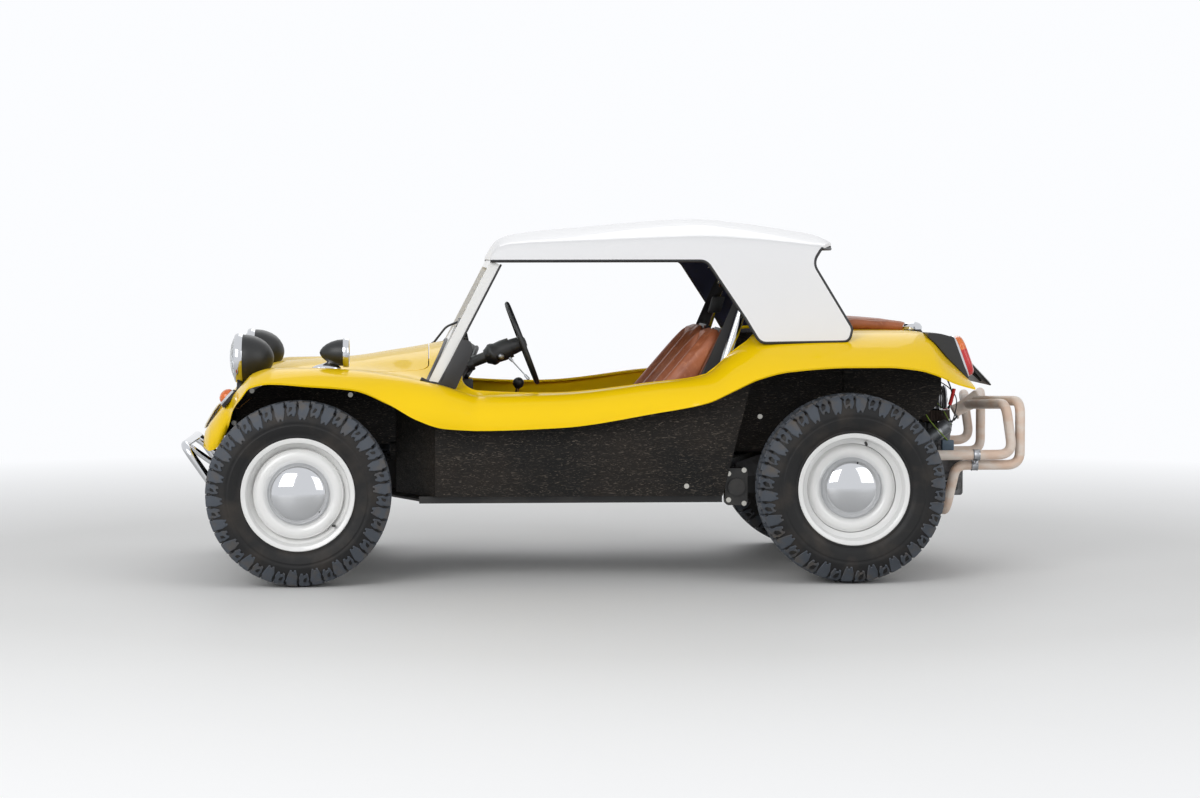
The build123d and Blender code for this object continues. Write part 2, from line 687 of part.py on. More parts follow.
# Dashboard, an arched panel under the cowl
DASH_TILT = math.radians(33.6)
dash_plane = Plane(origin=(at(528), 0, 704), x_dir=(0, 1, 0),
                   z_dir=(math.cos(DASH_TILT), 0, -math.sin(DASH_TILT)))
with BuildPart() as dashboard:
    with BuildSketch(dash_plane):
        with BuildLine():
            ThreePointArc((-530, 0), (0, 186), (530, 0))
            Polyline([(530, 0), (530, -14), (-530, -14), (-530, 0)])
        make_face()
    extrude(amount=-26)
    add(column_hole.part, mode=Mode.SUBTRACT)
save(dashboard, "dashboard")

# Steering wheel: rim, three spokes and hub, square to the column
RIM_R, RIM_TUBE = 157.0, 12.0
wheel_plane = Plane(origin=hub_centre, x_dir=(0, 1, 0), z_dir=-column_dir)
with BuildPart() as steering_wheel:
    with BuildSketch(Plane(origin=hub_centre, x_dir=(0, 1, 0), z_dir=wheel_plane.y_dir)):
        with Locations((RIM_R, 0)):
            Circle(RIM_TUBE)
    revolve(axis=Axis(hub_centre, wheel_plane.z_dir))
    for angle in (0, 180, 270):
        with BuildSketch(wheel_plane.offset(-3)):
            with Locations(Rot(0, 0, angle) * Pos(RIM_R / 2, 0)):
                Rectangle(RIM_R, 26)
        extrude(amount=6)
    with BuildSketch(wheel_plane.offset(-50)):
        Circle(28)
    extrude(amount=66)
save(steering_wheel, "steering_wheel")

# Front seats: reclined bucket with side bolsters
SEAT_Y, SEAT_HALF, BOLSTER = 315.0, 200.0, 45.0
SEAT_SIDE = [(830, 306), (1300, 306), (1613, 935), (1600, 950), (1545, 945), (1215, 560), (850, 560)]
SEAT_HOLLOW = [(780, 505), (1190, 490), (1500, 985), (1400, 1000), (780, 700)]
for name, side in SIDES.items():
    with BuildPart() as seat:
        add(side_prism(SEAT_SIDE, SEAT_HALF, side * SEAT_Y))
        add(side_prism(SEAT_HOLLOW, SEAT_HALF - BOLSTER, side * SEAT_Y), mode=Mode.SUBTRACT)
    save(seat, f"seat_{name}")

with BuildPart() as rear_seat:
    add(side_prism([(1680, 480), (1940, 480), (2032, 880), (1975, 900), (1880, 600), (1680, 610)], 410))
    add(side_prism([(2066, 926), (2335, 926), (2345, 950), (2330, 966), (2076, 966), (2064, 950)], 295))
    add(under_skin.part, mode=Mode.SUBTRACT)
save(rear_seat, "rear_seat")

# Roll hoop behind the seats
HOOP_R = 20.0
with BuildPart() as roll_hoop:
    add(tube_along([(1426, -538, 313), (1700, -538, 1168), (1700, 538, 1168), (1426, 538, 313)], HOOP_R, 110))
save(roll_hoop, "roll_hoop")

with BuildPart() as gear_lever:
    with BuildSketch(Plane.XY.offset(440)):
        with Locations((at(800), 0)):
            Circle(28)
    extrude(amount=30)
    add(tube_along([(800, 0, 465), (800, 0, 560), (825, 0, 700)], 7, 60))
    with Locations((at(826), 0, 712)):
        Sphere(21)
    add(side_prism([(930, 441), (990, 441), (990, 470), (1180, 560), (1176, 575), (940, 480)], 12))
save(gear_lever, "gear_lever")

with BuildPart() as pedals:
    for pedal_y in (-430, -330, -240):
        add(side_prism([(470, 306), (482, 306), (478, 460), (492, 520), (480, 524), (464, 462)], 20, pedal_y))
save(pedals, "pedals")

# Bullet headlights on short stems
LAMP_Y, LAMP_Z = 375.0, 824.0
LAMP_FRONT, LAMP_RIM, LAMP_BACK, LAMP_R = -250.0, -222.0, -106.0, 86.0
with BuildPart() as headlights:
    with BuildSketch(Plane(origin=(at(0), LAMP_Y, LAMP_Z), x_dir=(1, 0, 0), z_dir=(0, -1, 0))):
        with BuildLine():
            ThreePointArc((LAMP_FRONT - 22, 0), (LAMP_FRONT - 15, 50), (LAMP_FRONT, LAMP_R))
            Line((LAMP_FRONT, LAMP_R), (LAMP_FRONT, LAMP_R + 4))
            Line((LAMP_FRONT, LAMP_R + 4), (LAMP_RIM, LAMP_R + 4))
            ThreePointArc((LAMP_RIM, LAMP_R + 4), (LAMP_BACK - 42, 60), (LAMP_BACK, 0))
            Line((LAMP_BACK, 0), (LAMP_FRONT - 22, 0))
        make_face()
    revolve(axis=Axis((0, LAMP_Y, LAMP_Z), (1, 0, 0)))
    with BuildSketch(Plane.XY.offset(660)):
        with Locations((at(-232), LAMP_Y)):
            Circle(15)
    extrude(amount=110)
    mirror(about=Plane.XZ)
    add(under_skin.part, mode=Mode.SUBTRACT)
save(headlights, "headlights")

with BuildPart() as front_indicators:
    slope = Plane(origin=(at(-266), 500, 678), x_dir=(0, 1, 0), z_dir=(-0.75, 0, 0.66))
    with BuildSketch(slope.offset(-6)):
        Circle(38)
    extrude(amount=14)
    with BuildSketch(slope.offset(8)):
        Circle(32)
    extrude(amount=22, taper=20)
    mirror(about=Plane.XZ)
    add(under_skin.part, mode=Mode.SUBTRACT)
save(front_indicators, "front_indicators")

TAIL_Y, TAIL_HALF = 520.0, 62.0
lens_plane = Plane(origin=(at(2445), TAIL_Y, 904), x_dir=(0, 1, 0),
                   z_dir=(math.cos(math.radians(20.2)), 0, math.sin(math.radians(20.2))))
with BuildPart() as tail_lamps:
    add(side_prism([(2342, 922), (2397, 917), (2445, 904), (2504, 750), (2498, 748), (2425, 826)], TAIL_HALF,
                   TAIL_Y))
    with BuildSketch(lens_plane):
        with Locations((0, -82)):
            SlotCenterToCenter(56, 104, rotation=90)
    extrude(amount=30, taper=16)
    mirror(about=Plane.XZ)
    add(under_skin.part, mode=Mode.SUBTRACT)
save(tail_lamps, "tail_lamps")

with BuildPart() as mirror_left:
    with BuildSketch(Plane(origin=(at(0), -550, 850), x_dir=(1, 0, 0), z_dir=(0, -1, 0))):
        with BuildLine():
            Polyline([(72, 0), (78, 14), (92, 28), (114, 41), (140, 48), (161, 50), (161, 53), (180, 53),
                      (180, 0)], close=True)
        make_face()
    revolve(axis=Axis((0, -550, 850), (1, 0, 0)))
    with BuildSketch(Plane.XY.offset(788)):
        with Locations((at(100), -550)):
            Ellipse(46, 24)
    extrude(amount=18)
    with BuildSketch(Plane.XY.offset(800)):
        with Locations((at(112), -550)):
            Circle(9)
    extrude(amount=25)
    add(under_skin.part, mode=Mode.SUBTRACT)
save(mirror_left, "mirror_left")

with BuildPart() as front_bumper:
    add(tube_along([(-200, -BUMPER_Y, 265), (-250, -BUMPER_Y, 265), (-350, -330, 350), (-449, -330, 492),
                    (-449, 330, 492), (-350, 330, 350), (-250, BUMPER_Y, 265), (-200, BUMPER_Y, 265)], 16, 45))
    for brace_y in (-BRACE_Y, BRACE_Y):
        add(tube_along([(-447, brace_y, 484), (-350, brace_y, 415), (-200, brace_y, 415)], 12, 30))
save(front_bumper, "front_bumper")

with BuildPart() as filler_cap:
    with BuildSketch(Plane.XY.offset(900)):
        with Locations((at(2325), -350)):
            Circle(36)
    extrude(amount=62)
    add(under_skin.part, mode=Mode.SUBTRACT)
save(filler_cap, "filler_cap")


def turned(points, plane, axis):
    """Solid of revolution about a wheel's axis, from its half section as (outboard, radius)."""
    with BuildPart() as ring:
        with BuildSketch(plane):
            with BuildLine():
                Polyline(points, close=True)
            make_face()
        revolve(axis=axis)
    return ring.part


def barrel_section(half):
    """Pressed wheel rim with its flanges, bead seats and drop centre."""
    return [(-half - 5, 207), (-half, 207), (-half + 3, 191), (-half + 34, 189), (-half + 46, 172),
            (half - 66, 172), (half - 50, 189), (half - 3, 191), (half, 207), (half + 5, 207),
            (half + 3, 200), (half + 1, 185), (half - 48, 183), (half - 62, 166),
            (-half + 42, 166), (-half + 30, 183), (-half - 1, 185), (-half - 3, 200)]


def disc_section(dish, drum_back, cap_rise):
    """Wheel disc with its raised ring and domed cap, and the brake drum behind round the stub axle."""
    bore = STUB_R + CLEAR
    cap = [(dish + 3 + cap_rise * math.cos(a), 115 * math.sin(a)) for a in (1.45, 1.2, 0.9, 0.6, 0.3)]
    return [(dish - 34, 168), (dish - 22, 168), (dish, 162), (dish + 10, 150), (dish + 10, 130),
            (dish + 2, 118), *cap, (dish + 3 + cap_rise, 0), (dish - 22, 0), (dish - 22, bore),
            (drum_back, bore), (drum_back, 112), (dish - 26, 112), (dish - 6, 122), (dish + 2, 132),
            (dish + 2, 148), (dish - 6, 155)]


def tyre_section(radius, half, bead):
    """Tyre without its tread: beads on the rim, bulged sidewalls and a flat crown."""
    return [(-bead, 193), (bead, 193), (bead, 209), (half - 2, 232), (half, radius - 70),
            (half - 4, radius - 28), (half - 22, radius - 6), (half - 40, radius), (-half + 40, radius),
            (-half + 22, radius - 6), (-half + 4, radius - 28), (-half, radius - 70),
            (-half + 2, 232), (-bead, 209)]


# end, station, wheel plane y, tyre radius, tyre width, rim half width, disc place, drum back, cap rise
WHEELS = [
    ("front", 0.0, FRONT_WHEEL_Y, FRONT_TYRE_R, FRONT_TYRE_W, 92.0, 52.0, -70.0, 46.0),
    ("rear", WHEELBASE, REAR_WHEEL_Y, REAR_TYRE_R, REAR_TYRE_W, 108.0, 34.0, -111.0, 46.0),
]
for end, station, wheel_y, radius, width, half, dish, drum_back, cap_rise in WHEELS:
    for name, side in SIDES.items():
        centre = (at(station), side * wheel_y, radius)
        plane = Plane(origin=centre, x_dir=(0, side, 0), z_dir=(side, 0, 0))
        axis = Axis(centre, (0, 1, 0))
        with BuildPart() as wheel:
            add(turned(barrel_section(half), plane, axis))
            add(turned(disc_section(dish, drum_back, cap_rise), plane, axis))
        save(wheel, f"wheel_{end}_{name}")
        with BuildPart() as tyre:
            add(turned(tyre_section(radius, width / 2, half - 4), plane, axis))
        save(tyre, f"tyre_{end}_{name}")
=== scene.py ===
import math
import bmesh
import bpy
import numpy as np
from mathutils import Matrix, Vector


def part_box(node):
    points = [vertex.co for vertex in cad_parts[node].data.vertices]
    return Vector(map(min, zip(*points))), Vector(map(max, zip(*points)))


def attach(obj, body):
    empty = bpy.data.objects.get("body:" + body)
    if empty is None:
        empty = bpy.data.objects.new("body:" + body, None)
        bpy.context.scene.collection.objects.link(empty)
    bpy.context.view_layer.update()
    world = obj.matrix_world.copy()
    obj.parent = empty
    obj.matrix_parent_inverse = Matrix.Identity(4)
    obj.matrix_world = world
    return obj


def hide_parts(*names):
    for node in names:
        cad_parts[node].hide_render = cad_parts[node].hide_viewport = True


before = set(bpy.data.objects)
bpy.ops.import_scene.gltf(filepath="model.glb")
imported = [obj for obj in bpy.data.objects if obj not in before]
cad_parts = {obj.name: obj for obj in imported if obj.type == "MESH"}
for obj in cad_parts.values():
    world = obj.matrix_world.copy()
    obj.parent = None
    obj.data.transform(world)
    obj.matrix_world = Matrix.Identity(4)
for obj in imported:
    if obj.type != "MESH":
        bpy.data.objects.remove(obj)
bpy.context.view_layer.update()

# The studio: the side view of the photograph, a pale floor and soft light from above and in front.
# Stations are millimetres behind the front axle, as in the part's own tables; y is to the vehicle's right.
scene = bpy.context.scene
scene.view_settings.view_transform = "Standard"
FRONT_AXLE = -1145.0
SIDES = (("left", -1), ("right", 1))
AFT, UP = (1, 0, 0), (0, 0, 1)


def spot(station, y, z):
    """Place of a station, y and height given in millimetres."""
    return Vector(((FRONT_AXLE + station) / 1000, y / 1000, z / 1000))


def leaning(station, height, lean):
    """Places on a leaning face, as a function of y, distance up it and distance out, all in millimetres."""
    rise, run = math.cos(lean), math.sin(lean)
    return lambda y, up, out: spot(station + up * run + out * rise, y, height + up * rise - out * run)


def placed(name, data):
    """New object in the scene."""
    piece = bpy.data.objects.new(name, data)
    scene.collection.objects.link(piece)
    return piece


def wired(tree, nodes, links):
    """Add nodes, as name: (type, values), and links, as (from node, its socket, to node, its socket)."""
    for name, (kind, values) in nodes.items():
        node = tree.nodes.new(kind)
        node.name = name
        for label, value in values.items():
            if isinstance(label, str) and hasattr(node, label):
                setattr(node, label, value)
            else:
                node.inputs[label].default_value = value
    for start, leaving, end, entering in links:
        tree.links.new(tree.nodes[start].outputs[leaving], tree.nodes[end].inputs[entering])


camera_lens = bpy.data.cameras.new("side_camera")
camera_lens.lens = 84.9
camera_lens.sensor_width = 36.0
camera = placed("side_camera", camera_lens)
camera.location = (-0.645, -11.10, 1.21)
camera.rotation_euler = (math.radians(87.1), 0, math.radians(-3.34))
scene.camera = camera

world = bpy.data.worlds.new("studio")
world.use_nodes = True
scene.world = world
# Only camera, mirror and glass rays see the full white; the rest get about half of it.
wired(world.node_tree, {
    "rays": ("ShaderNodeLightPath", {}), "seen": ("ShaderNodeMath", {"operation": "MAXIMUM"}),
    "seen_through": ("ShaderNodeMath", {"operation": "MAXIMUM"}),
    "level": ("ShaderNodeMath", {"operation": "MULTIPLY_ADD", 1: 0.52, 2: 0.48})}, [
    ("rays", "Is Camera Ray", "seen", 0), ("rays", "Is Glossy Ray", "seen", 1),
    ("seen", 0, "seen_through", 0),
    ("rays", "Is Transmission Ray", "seen_through", 1), ("seen_through", 0, "level", 0),
    ("level", 0, "Background", "Strength")])
STUDIO_WHITE = (0.97, 0.98, 1.0, 1)
world.node_tree.nodes["Background"].inputs["Color"].default_value = STUDIO_WHITE

for lamp_name, place, size, power in (("key", (-4.5, -7.5, 4.4), 5.0, 340),
                                      ("fill", (5.5, -6.0, 3.6), 5.0, 120),
                                      ("back", (0.5, 6.5, 6.0), 5.0, 100)):
    lamp = bpy.data.lights.new(lamp_name, "AREA")
    lamp.size = size
    lamp.energy = power
    holder = placed(lamp_name, lamp)
    holder.location = place
    holder.rotation_euler = (Vector((0, 0, 0.5)) - Vector(place)).to_track_quat("-Z", "Y").to_euler()


# Finishes: each is one shader, with its own noise for relief, patches and changing polish.
MORE = {"specular": "Specular IOR Level", "clear": "Transmission Weight", "ior": "IOR",
        "milky": "Subsurface Weight", "milk_depth": "Subsurface Scale"}


def finish(name, colour, roughness, metallic=0.0, coat=0.0, **more):
    """New surface finish."""
    material = bpy.data.materials.new(name)
    material.use_nodes = True
    values = {"Base Color": (*colour, 1), "Roughness": roughness, "Metallic": metallic, "Coat Weight": coat,
              "Coat Roughness": 0.04, **{MORE[label]: value for label, value in more.items()}}
    for label, value in values.items():
        material.node_tree.nodes["Principled BSDF"].inputs[label].default_value = value
    return material


def noise(material, size, detail=4.0, stretch=(1, 1, 1), twist=0.0):
    """Noise of a feature size in metres on the piece's own coordinates, twisted into curls if wanted."""
    tree = material.node_tree
    place = tree.nodes.new("ShaderNodeTexCoord")
    turn = tree.nodes.new("ShaderNodeMapping")
    turn.inputs["Scale"].default_value = stretch
    cloud = tree.nodes.new("ShaderNodeTexNoise")
    cloud.inputs["Scale"].default_value = 1 / size
    cloud.inputs["Detail"].default_value = detail
    cloud.inputs["Distortion"].default_value = twist
    tree.links.new(place.outputs["Object"], turn.inputs["Vector"])
    tree.links.new(turn.outputs["Vector"], cloud.inputs["Vector"])
    return cloud.outputs["Fac"]


def polish(material, size, low, high):
    """Roughness that changes over the surface."""
    tree = material.node_tree
    span = tree.nodes.new("ShaderNodeMapRange")
    span.inputs["To Min"].default_value = low
    span.inputs["To Max"].default_value = high
    tree.links.new(noise(material, size), span.inputs["Value"])
    tree.links.new(span.outputs["Result"], tree.nodes["Principled BSDF"].inputs["Roughness"])
    return material


floor_paint = polish(finish("floor_paint", (0.80, 0.80, 0.79), 0.6), 0.8, 0.5, 0.7)
wired(floor_paint.node_tree, {
    "place": ("ShaderNodeTexCoord", {}), "away": ("ShaderNodeVectorMath", {"operation": "LENGTH"}),
    "far": ("ShaderNodeMapRange", {"From Min": 2.6, "From Max": 6.5}), "rays": ("ShaderNodeLightPath", {}),
    "seen": ("ShaderNodeMath", {"operation": "MAXIMUM"}),
    "both": ("ShaderNodeMath", {"operation": "MULTIPLY"}),
    "glow": ("ShaderNodeEmission", {"Color": STUDIO_WHITE}), "blend": ("ShaderNodeMixShader", {})}, [
    ("place", "Object", "away", 0), ("away", "Value", "far", "Value"), ("rays", "Is Camera Ray", "seen", 0),
    ("rays", "Is Glossy Ray", "seen", 1), ("far", "Result", "both", 0), ("seen", 0, "both", 1),
    ("both", 0, "blend", "Fac"), ("Principled BSDF", 0, "blend", 1), ("glow", 0, "blend", 2),
    ("blend", 0, "Material Output", "Surface")])
floor_mesh = bpy.data.meshes.new("studio_floor")
floor_mesh.from_pydata([(-60, -60, -0.001), (60, -60, -0.001), (60, 60, -0.001), (-60, 60, -0.001)], [],
                       [(0, 1, 2, 3)])
floor_mesh.materials.append(floor_paint)
placed("studio_floor", floor_mesh)


# Body moulding: one glass-fibre shell with wings, cowl, cockpit sides and rear deck, yellow outside and
# black underneath, and the bonnet panel let into its nose. The rim of the cockpit is rolled over.
def grain(material, size, depth, detail=4.0, stretch=(1, 1, 1), twist=0.0):
    """Relief of the surface, laid over any that it already has."""
    tree = material.node_tree
    normal = tree.nodes["Principled BSDF"].inputs["Normal"]
    bump = tree.nodes.new("ShaderNodeBump")
    bump.inputs["Distance"].default_value = depth
    if normal.links:
        tree.links.new(normal.links[0].from_socket, bump.inputs["Normal"])
    tree.links.new(noise(material, size, detail, stretch, twist), bump.inputs["Height"])
    tree.links.new(bump.outputs["Normal"], normal)
    return material


def patches(material, size, other, low, high, stretch=(1, 1, 1), detail=5.0, twist=0.0):
    """Patches of a second colour, such as dust or wear."""
    tree = material.node_tree
    colour = tree.nodes["Principled BSDF"].inputs["Base Color"]
    mix = tree.nodes.new("ShaderNodeMix")
    mix.data_type = "RGBA"
    if colour.links:
        tree.links.new(colour.links[0].from_socket, mix.inputs["A"])
    else:
        mix.inputs["A"].default_value = colour.default_value
    mix.inputs["B"].default_value = (*other, 1)
    share = tree.nodes.new("ShaderNodeMapRange")
    share.inputs["From Min"].default_value = low
    share.inputs["From Max"].default_value = high
    tree.links.new(noise(material, size, detail, stretch, twist), share.inputs["Value"])
    tree.links.new(share.outputs["Result"], mix.inputs["Factor"])
    tree.links.new(mix.outputs["Result"], colour)
    return material


def set_on(piece, body="chassis", stands_for=()):
    """Carry a finished piece on a body, in place of the plain solids that it dresses."""
    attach(piece, body)
    if stands_for:
        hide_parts(*stands_for)
    return piece


def shaded(mesh, angle):
    """Smooth shading with edges sharper than an angle kept."""
    mesh.shade_smooth()
    mesh.set_sharp_from_angle(angle=math.radians(angle))
    return mesh


def made(name, places, faces, materials, angle=35.0, slots=None):
    """Object from points and faces, merged where they meet and with its faces outwards."""
    mesh = bpy.data.meshes.new(name)
    mesh.from_pydata([tuple(p) for p in places], [], faces)
    if slots:
        mesh.polygons.foreach_set("material_index", slots)
    built = bmesh.new()
    built.from_mesh(mesh)
    bmesh.ops.remove_doubles(built, verts=built.verts, dist=1e-5)
    bmesh.ops.delete(built, geom=[e for e in built.edges if not e.link_faces], context="EDGES")
    bmesh.ops.recalc_face_normals(built, faces=built.faces)
    built.to_mesh(mesh)
    built.free()
    for material in materials if isinstance(materials, (list, tuple)) else [materials]:
        mesh.materials.append(material)
    shaded(mesh, angle)
    return placed(name, mesh)


def worked_out(piece):
    """New mesh of what a curve or a piece's modifiers make."""
    bpy.context.view_layer.update()
    return bpy.data.meshes.new_from_object(piece.evaluated_get(bpy.context.evaluated_depsgraph_get()))


def settled(piece, angle=35.0):
    """Replace a piece's mesh by what its modifiers make of it."""
    whole = worked_out(piece)
    piece.modifiers.clear()
    piece.data = whole
    shaded(whole, angle)
    return piece


def rows_to_faces(rows, columns, closed_row=True, closed_column=False):
    """Quads between rows of equal length, numbered row by row."""
    faces = []
    for r in range(rows if closed_column else rows - 1):
        for c in range(columns if closed_row else columns - 1):
            a, b = r * columns + c, r * columns + (c + 1) % columns
            d, e = (r + 1) % rows * columns + c, (r + 1) % rows * columns + (c + 1) % columns
            faces.append((a, b, e, d))
    return faces


def lofted(name, rows, material, angle=35.0):
    """Closed form through rows of as many places each."""
    n, last = len(rows[0]), (len(rows) - 1) * len(rows[0])
    faces = rows_to_faces(len(rows), n) + [tuple(range(n - 1, -1, -1)), tuple(range(last, last + n))]
    return made(name, [p for row in rows for p in row], faces, material, angle)


def block(name, outline, place, low, high, material):
    """Closed block between two levels of an outline."""
    return lofted(name, [[place(p.x, p.y, level) for p in outline] for level in (low, high)], material)


# Columns: station, middle height, valley y, valley z, crown y, crown z, edge y, edge z
SKIN_ROWS = np.array([
    (-372, 560, 210, 540, 280, 546, 385, 492),
    (-345, 606, 250, 578, 360, 584, 462, 480),
    (-310, 655, 290, 612, 420, 624, 478, 496),
    (-272, 700, 315, 648, 470, 668, 502, 565),
    (-240, 730, 328, 676, 520, 704, 640, 652),
    (-205, 757, 334, 698, 548, 742, 742, 697),
    (-175, 778, 338, 714, 565, 773, 758, 733),
    (-100, 798, 342, 746, 580, 794, 762, 748),
    (40, 808, 352, 758, 590, 796, 765, 738),
    (200, 822, 384, 758, 600, 788, 765, 724),
    (330, 842, 440, 750, 615, 770, 762, 669),
    (430, 858, 520, 742, 625, 752, 750, 610),
    (530, 876, 575, 722, 632, 728, 735, 576),
    (600, 886, 575, 697, 628, 706, 728, 570),
    (660, 860, 575, 683, 625, 691, 722, 567),
    (960, 760, 575, 690, 625, 697, 722, 577),
    (1300, 790, 575, 728, 622, 736, 730, 628),
    (1500, 820, 560, 756, 608, 765, 750, 669),
    (1600, 880, 520, 832, 560, 842, 768, 716),
    (1690, 922, 400, 902, 450, 910, 780, 760),
    (1800, 932, 370, 918, 420, 926, 785, 788),
    (2034, 934, 370, 920, 420, 928, 788, 804),
    (2158, 934, 370, 920, 420, 928, 788, 804),
    (2281, 932, 370, 919, 425, 927, 786, 792),
    (2340, 926, 380, 913, 435, 921, 782, 775),
    (2420, 844, 390, 830, 450, 838, 772, 742),
    (2495, 762, 400, 750, 460, 757, 745, 722),
], float)
SKIN = 8.0


def carried(known, values, wanted):
    """Values between known ones, on curves that never overshoot them."""
    step, rise = np.diff(known), np.diff(values) / np.diff(known)
    slope = np.zeros_like(values)
    for k in range(1, len(values) - 1):
        if rise[k - 1] * rise[k] > 0:
            before, after = 2 * step[k] + step[k - 1], step[k] + 2 * step[k - 1]
            slope[k] = (before + after) / (before / rise[k - 1] + after / rise[k])
    slope[0], slope[-1] = rise[0], rise[-1]
    i = np.clip(np.searchsorted(known, wanted, side="right") - 1, 0, len(step) - 1)
    t = (wanted - known[i]) / step[i]
    return (values[i] * (1 + 2 * t) * (1 - t) ** 2 + slope[i] * step[i] * t * (1 - t) ** 2
            + values[i + 1] * t * t * (3 - 2 * t) + slope[i + 1] * step[i] * t * t * (t - 1))


def falling(crown, end, parts):
    """Arc that is level at the crown and runs down to an end."""
    run, drop = end[0] - crown[0], max(crown[1] - end[1], 0.5)
    radius, turn = (run * run + drop * drop) / (2 * drop), 2 * math.atan2(drop, abs(run))
    return [(crown[0] + math.copysign(radius * math.sin(turn * k / parts), run),
             crown[1] - radius * (1 - math.cos(turn * k / parts))) for k in range(parts + 1)]


def bowed(half, foot, top, parts):
    """Arc over the middle, from one side to the other."""
    rise = max(top - foot, 0.5)
    radius = (half * half + rise * rise) / (2 * rise)
    turn = math.atan2(half, radius - rise)
    return [(radius * math.sin(turn * k), top - radius * (1 - math.cos(turn * k)))
            for k in np.linspace(1, -1, parts + 1)]


def set_in(line, wall):
    """Line of an array of places, moved inwards by a wall."""
    along = np.gradient(line, axis=0)
    return line - np.stack([along[:, 1], -along[:, 0]], 1) / np.linalg.norm(along, axis=1)[:, None] * wall


def cross_section(row, inset=0.0):
    """Half wing, middle and half wing of one cross-section, moved inwards by a wall."""
    _, middle, valley_y, valley_z, crown_y, crown_z, edge_y, edge_z = row
    wing = falling((crown_y, crown_z), (edge_y, edge_z), 14)[::-1]
    inner = falling((crown_y, crown_z), (valley_y, valley_z), 6)[1:]
    line = np.array(wing + inner + bowed(valley_y, valley_z, middle, 30)[1:-1]
                    + [(-y, z) for y, z in inner[::-1]] + [(-y, z) for y, z in wing[::-1]])
    for valley in (20, len(line) - 21):
        for _ in range(12):
            line[valley - 5:valley + 6] = (line[valley - 6:valley + 5] + 2 * line[valley - 5:valley + 6]
                                           + line[valley - 4:valley + 7]) / 4
    return set_in(line, inset)


body_stations = np.unique(np.concatenate([np.arange(-372, 2495, 11.0), SKIN_ROWS[:, 0]]))
body_rows = np.stack([carried(SKIN_ROWS[:, 0], SKIN_ROWS[:, k], body_stations) for k in range(8)], 1)
outer_lines = [cross_section(row) for row in body_rows]
inner_lines = [cross_section(row, SKIN) for row in body_rows]


def skin_height(station, y):
    """Height of the moulding's outer surface above a place in plan."""
    row = [carried(SKIN_ROWS[:, 0], SKIN_ROWS[:, k], np.array([float(station)]))[0] for k in range(8)]
    line = cross_section(row)
    order = np.argsort(-line[:, 0][10:-10])
    return float(np.interp(y, line[10:-10, 0][order][::-1], line[10:-10, 1][order][::-1]))


yellow = grain(finish("yellow_gelcoat", (0.97, 0.64, 0.004), 0.25, coat=0.35, specular=0.02), 0.30, 0.0006,
               2.0)
undercoat = finish("black_undercoat", (0.003, 0.003, 0.0028), 0.5, specular=0.2)
patches(undercoat, 0.30, (0.016, 0.012, 0.009), 0.42, 0.72)
patches(undercoat, 0.012, (0.110, 0.092, 0.074), 0.57, 0.70, (0.30, 1, 1.5), 3.0, 3.5)
grain(undercoat, 0.012, 0.0022, 3.0, (0.30, 1, 1.5), 3.5)
grain(undercoat, 0.035, 0.004, 5.0, (0.6, 1, 1.6))


def shell_between(name, stations, outer, inner, materials, angle):
    """Closed shell between two sets of cross-sections."""
    n, rows = len(outer[0]), len(stations)
    places = [spot(s, y, z) for s, line in zip(stations, outer) for y, z in line]
    places += [spot(s, y, z) for s, line in zip(stations, inner) for y, z in line]
    skin = rows_to_faces(rows, n, closed_row=False)
    away = rows * n
    faces = skin + [tuple(i + away for i in reversed(f)) for f in skin]
    for k in range(rows - 1):
        for c in (0, n - 1):
            a, b = k * n + c, (k + 1) * n + c
            faces.append((a, b, b + away, a + away))
    for k in (0, rows - 1):
        for c in range(n - 1):
            a = k * n + c
            faces.append((a, a + 1, a + 1 + away, a + away))
    slots = [0] * len(skin) + [1] * len(skin) + [0] * (len(faces) - 2 * len(skin))
    return made(name, places, faces, materials, angle, slots)


def whole_skin(name):
    """The body's whole skin, from which the moulding and the bonnet are cut."""
    return shell_between(name, body_stations, outer_lines, inner_lines, [yellow, undercoat], 45)


# Plan outlines of the cockpit opening and of the bonnet: station, half width, corner radius
COCKPIT_PLAN = [(596, 545, 60), (1668, 562, 40), (1712, 425, 50), (2035, 425, 60)]
BONNET_PLAN = [(-150, 230, 40), (-60, 300, 80), (330, 400, 200), (478, 446, 40)]


def rounded(corners, steps=6):
    """Closed outline with each corner turned on an arc: x, y, radius."""
    line = []
    for k, (x, y, radius) in enumerate(corners):
        here = Vector((x, y))
        before = Vector(corners[k - 1][:2]) - here
        after = Vector(corners[(k + 1) % len(corners)][:2]) - here
        half = before.angle(after) / 2
        cut = min(radius / max(math.tan(half), 0.05), 0.48 * before.length, 0.48 * after.length)
        start, end = here + before.normalized() * cut, here + after.normalized() * cut
        for t in np.linspace(0, 1, steps + 1):
            line.append(start * (1 - t) ** 2 + here * 2 * t * (1 - t) + end * t * t)
    return line


def oblong(left, right, foot, top, radius):
    """Corners of a rounded rectangle."""
    return [(left, foot, radius), (right, foot, radius), (right, top, radius), (left, top, radius)]


def mirrored_plan(rows, shrink=0.0):
    """Rounded closed plan outline from one side's rows."""
    half = [(s + (shrink if k == 0 else -shrink if k == len(rows) - 1 else 0), y - shrink, r)
            for k, (s, y, r) in enumerate(rows)]
    return rounded(half + [(s, -y, r) for s, y, r in reversed(half)])


def cut(piece, tool, operation="DIFFERENCE"):
    """Cut a piece with a block, or keep only what lies inside it."""
    knife = piece.modifiers.new("cut", "BOOLEAN")
    knife.operation = operation
    knife.solver = "MANIFOLD"
    knife.object = tool
    settled(piece, 40)
    bpy.data.objects.remove(tool)


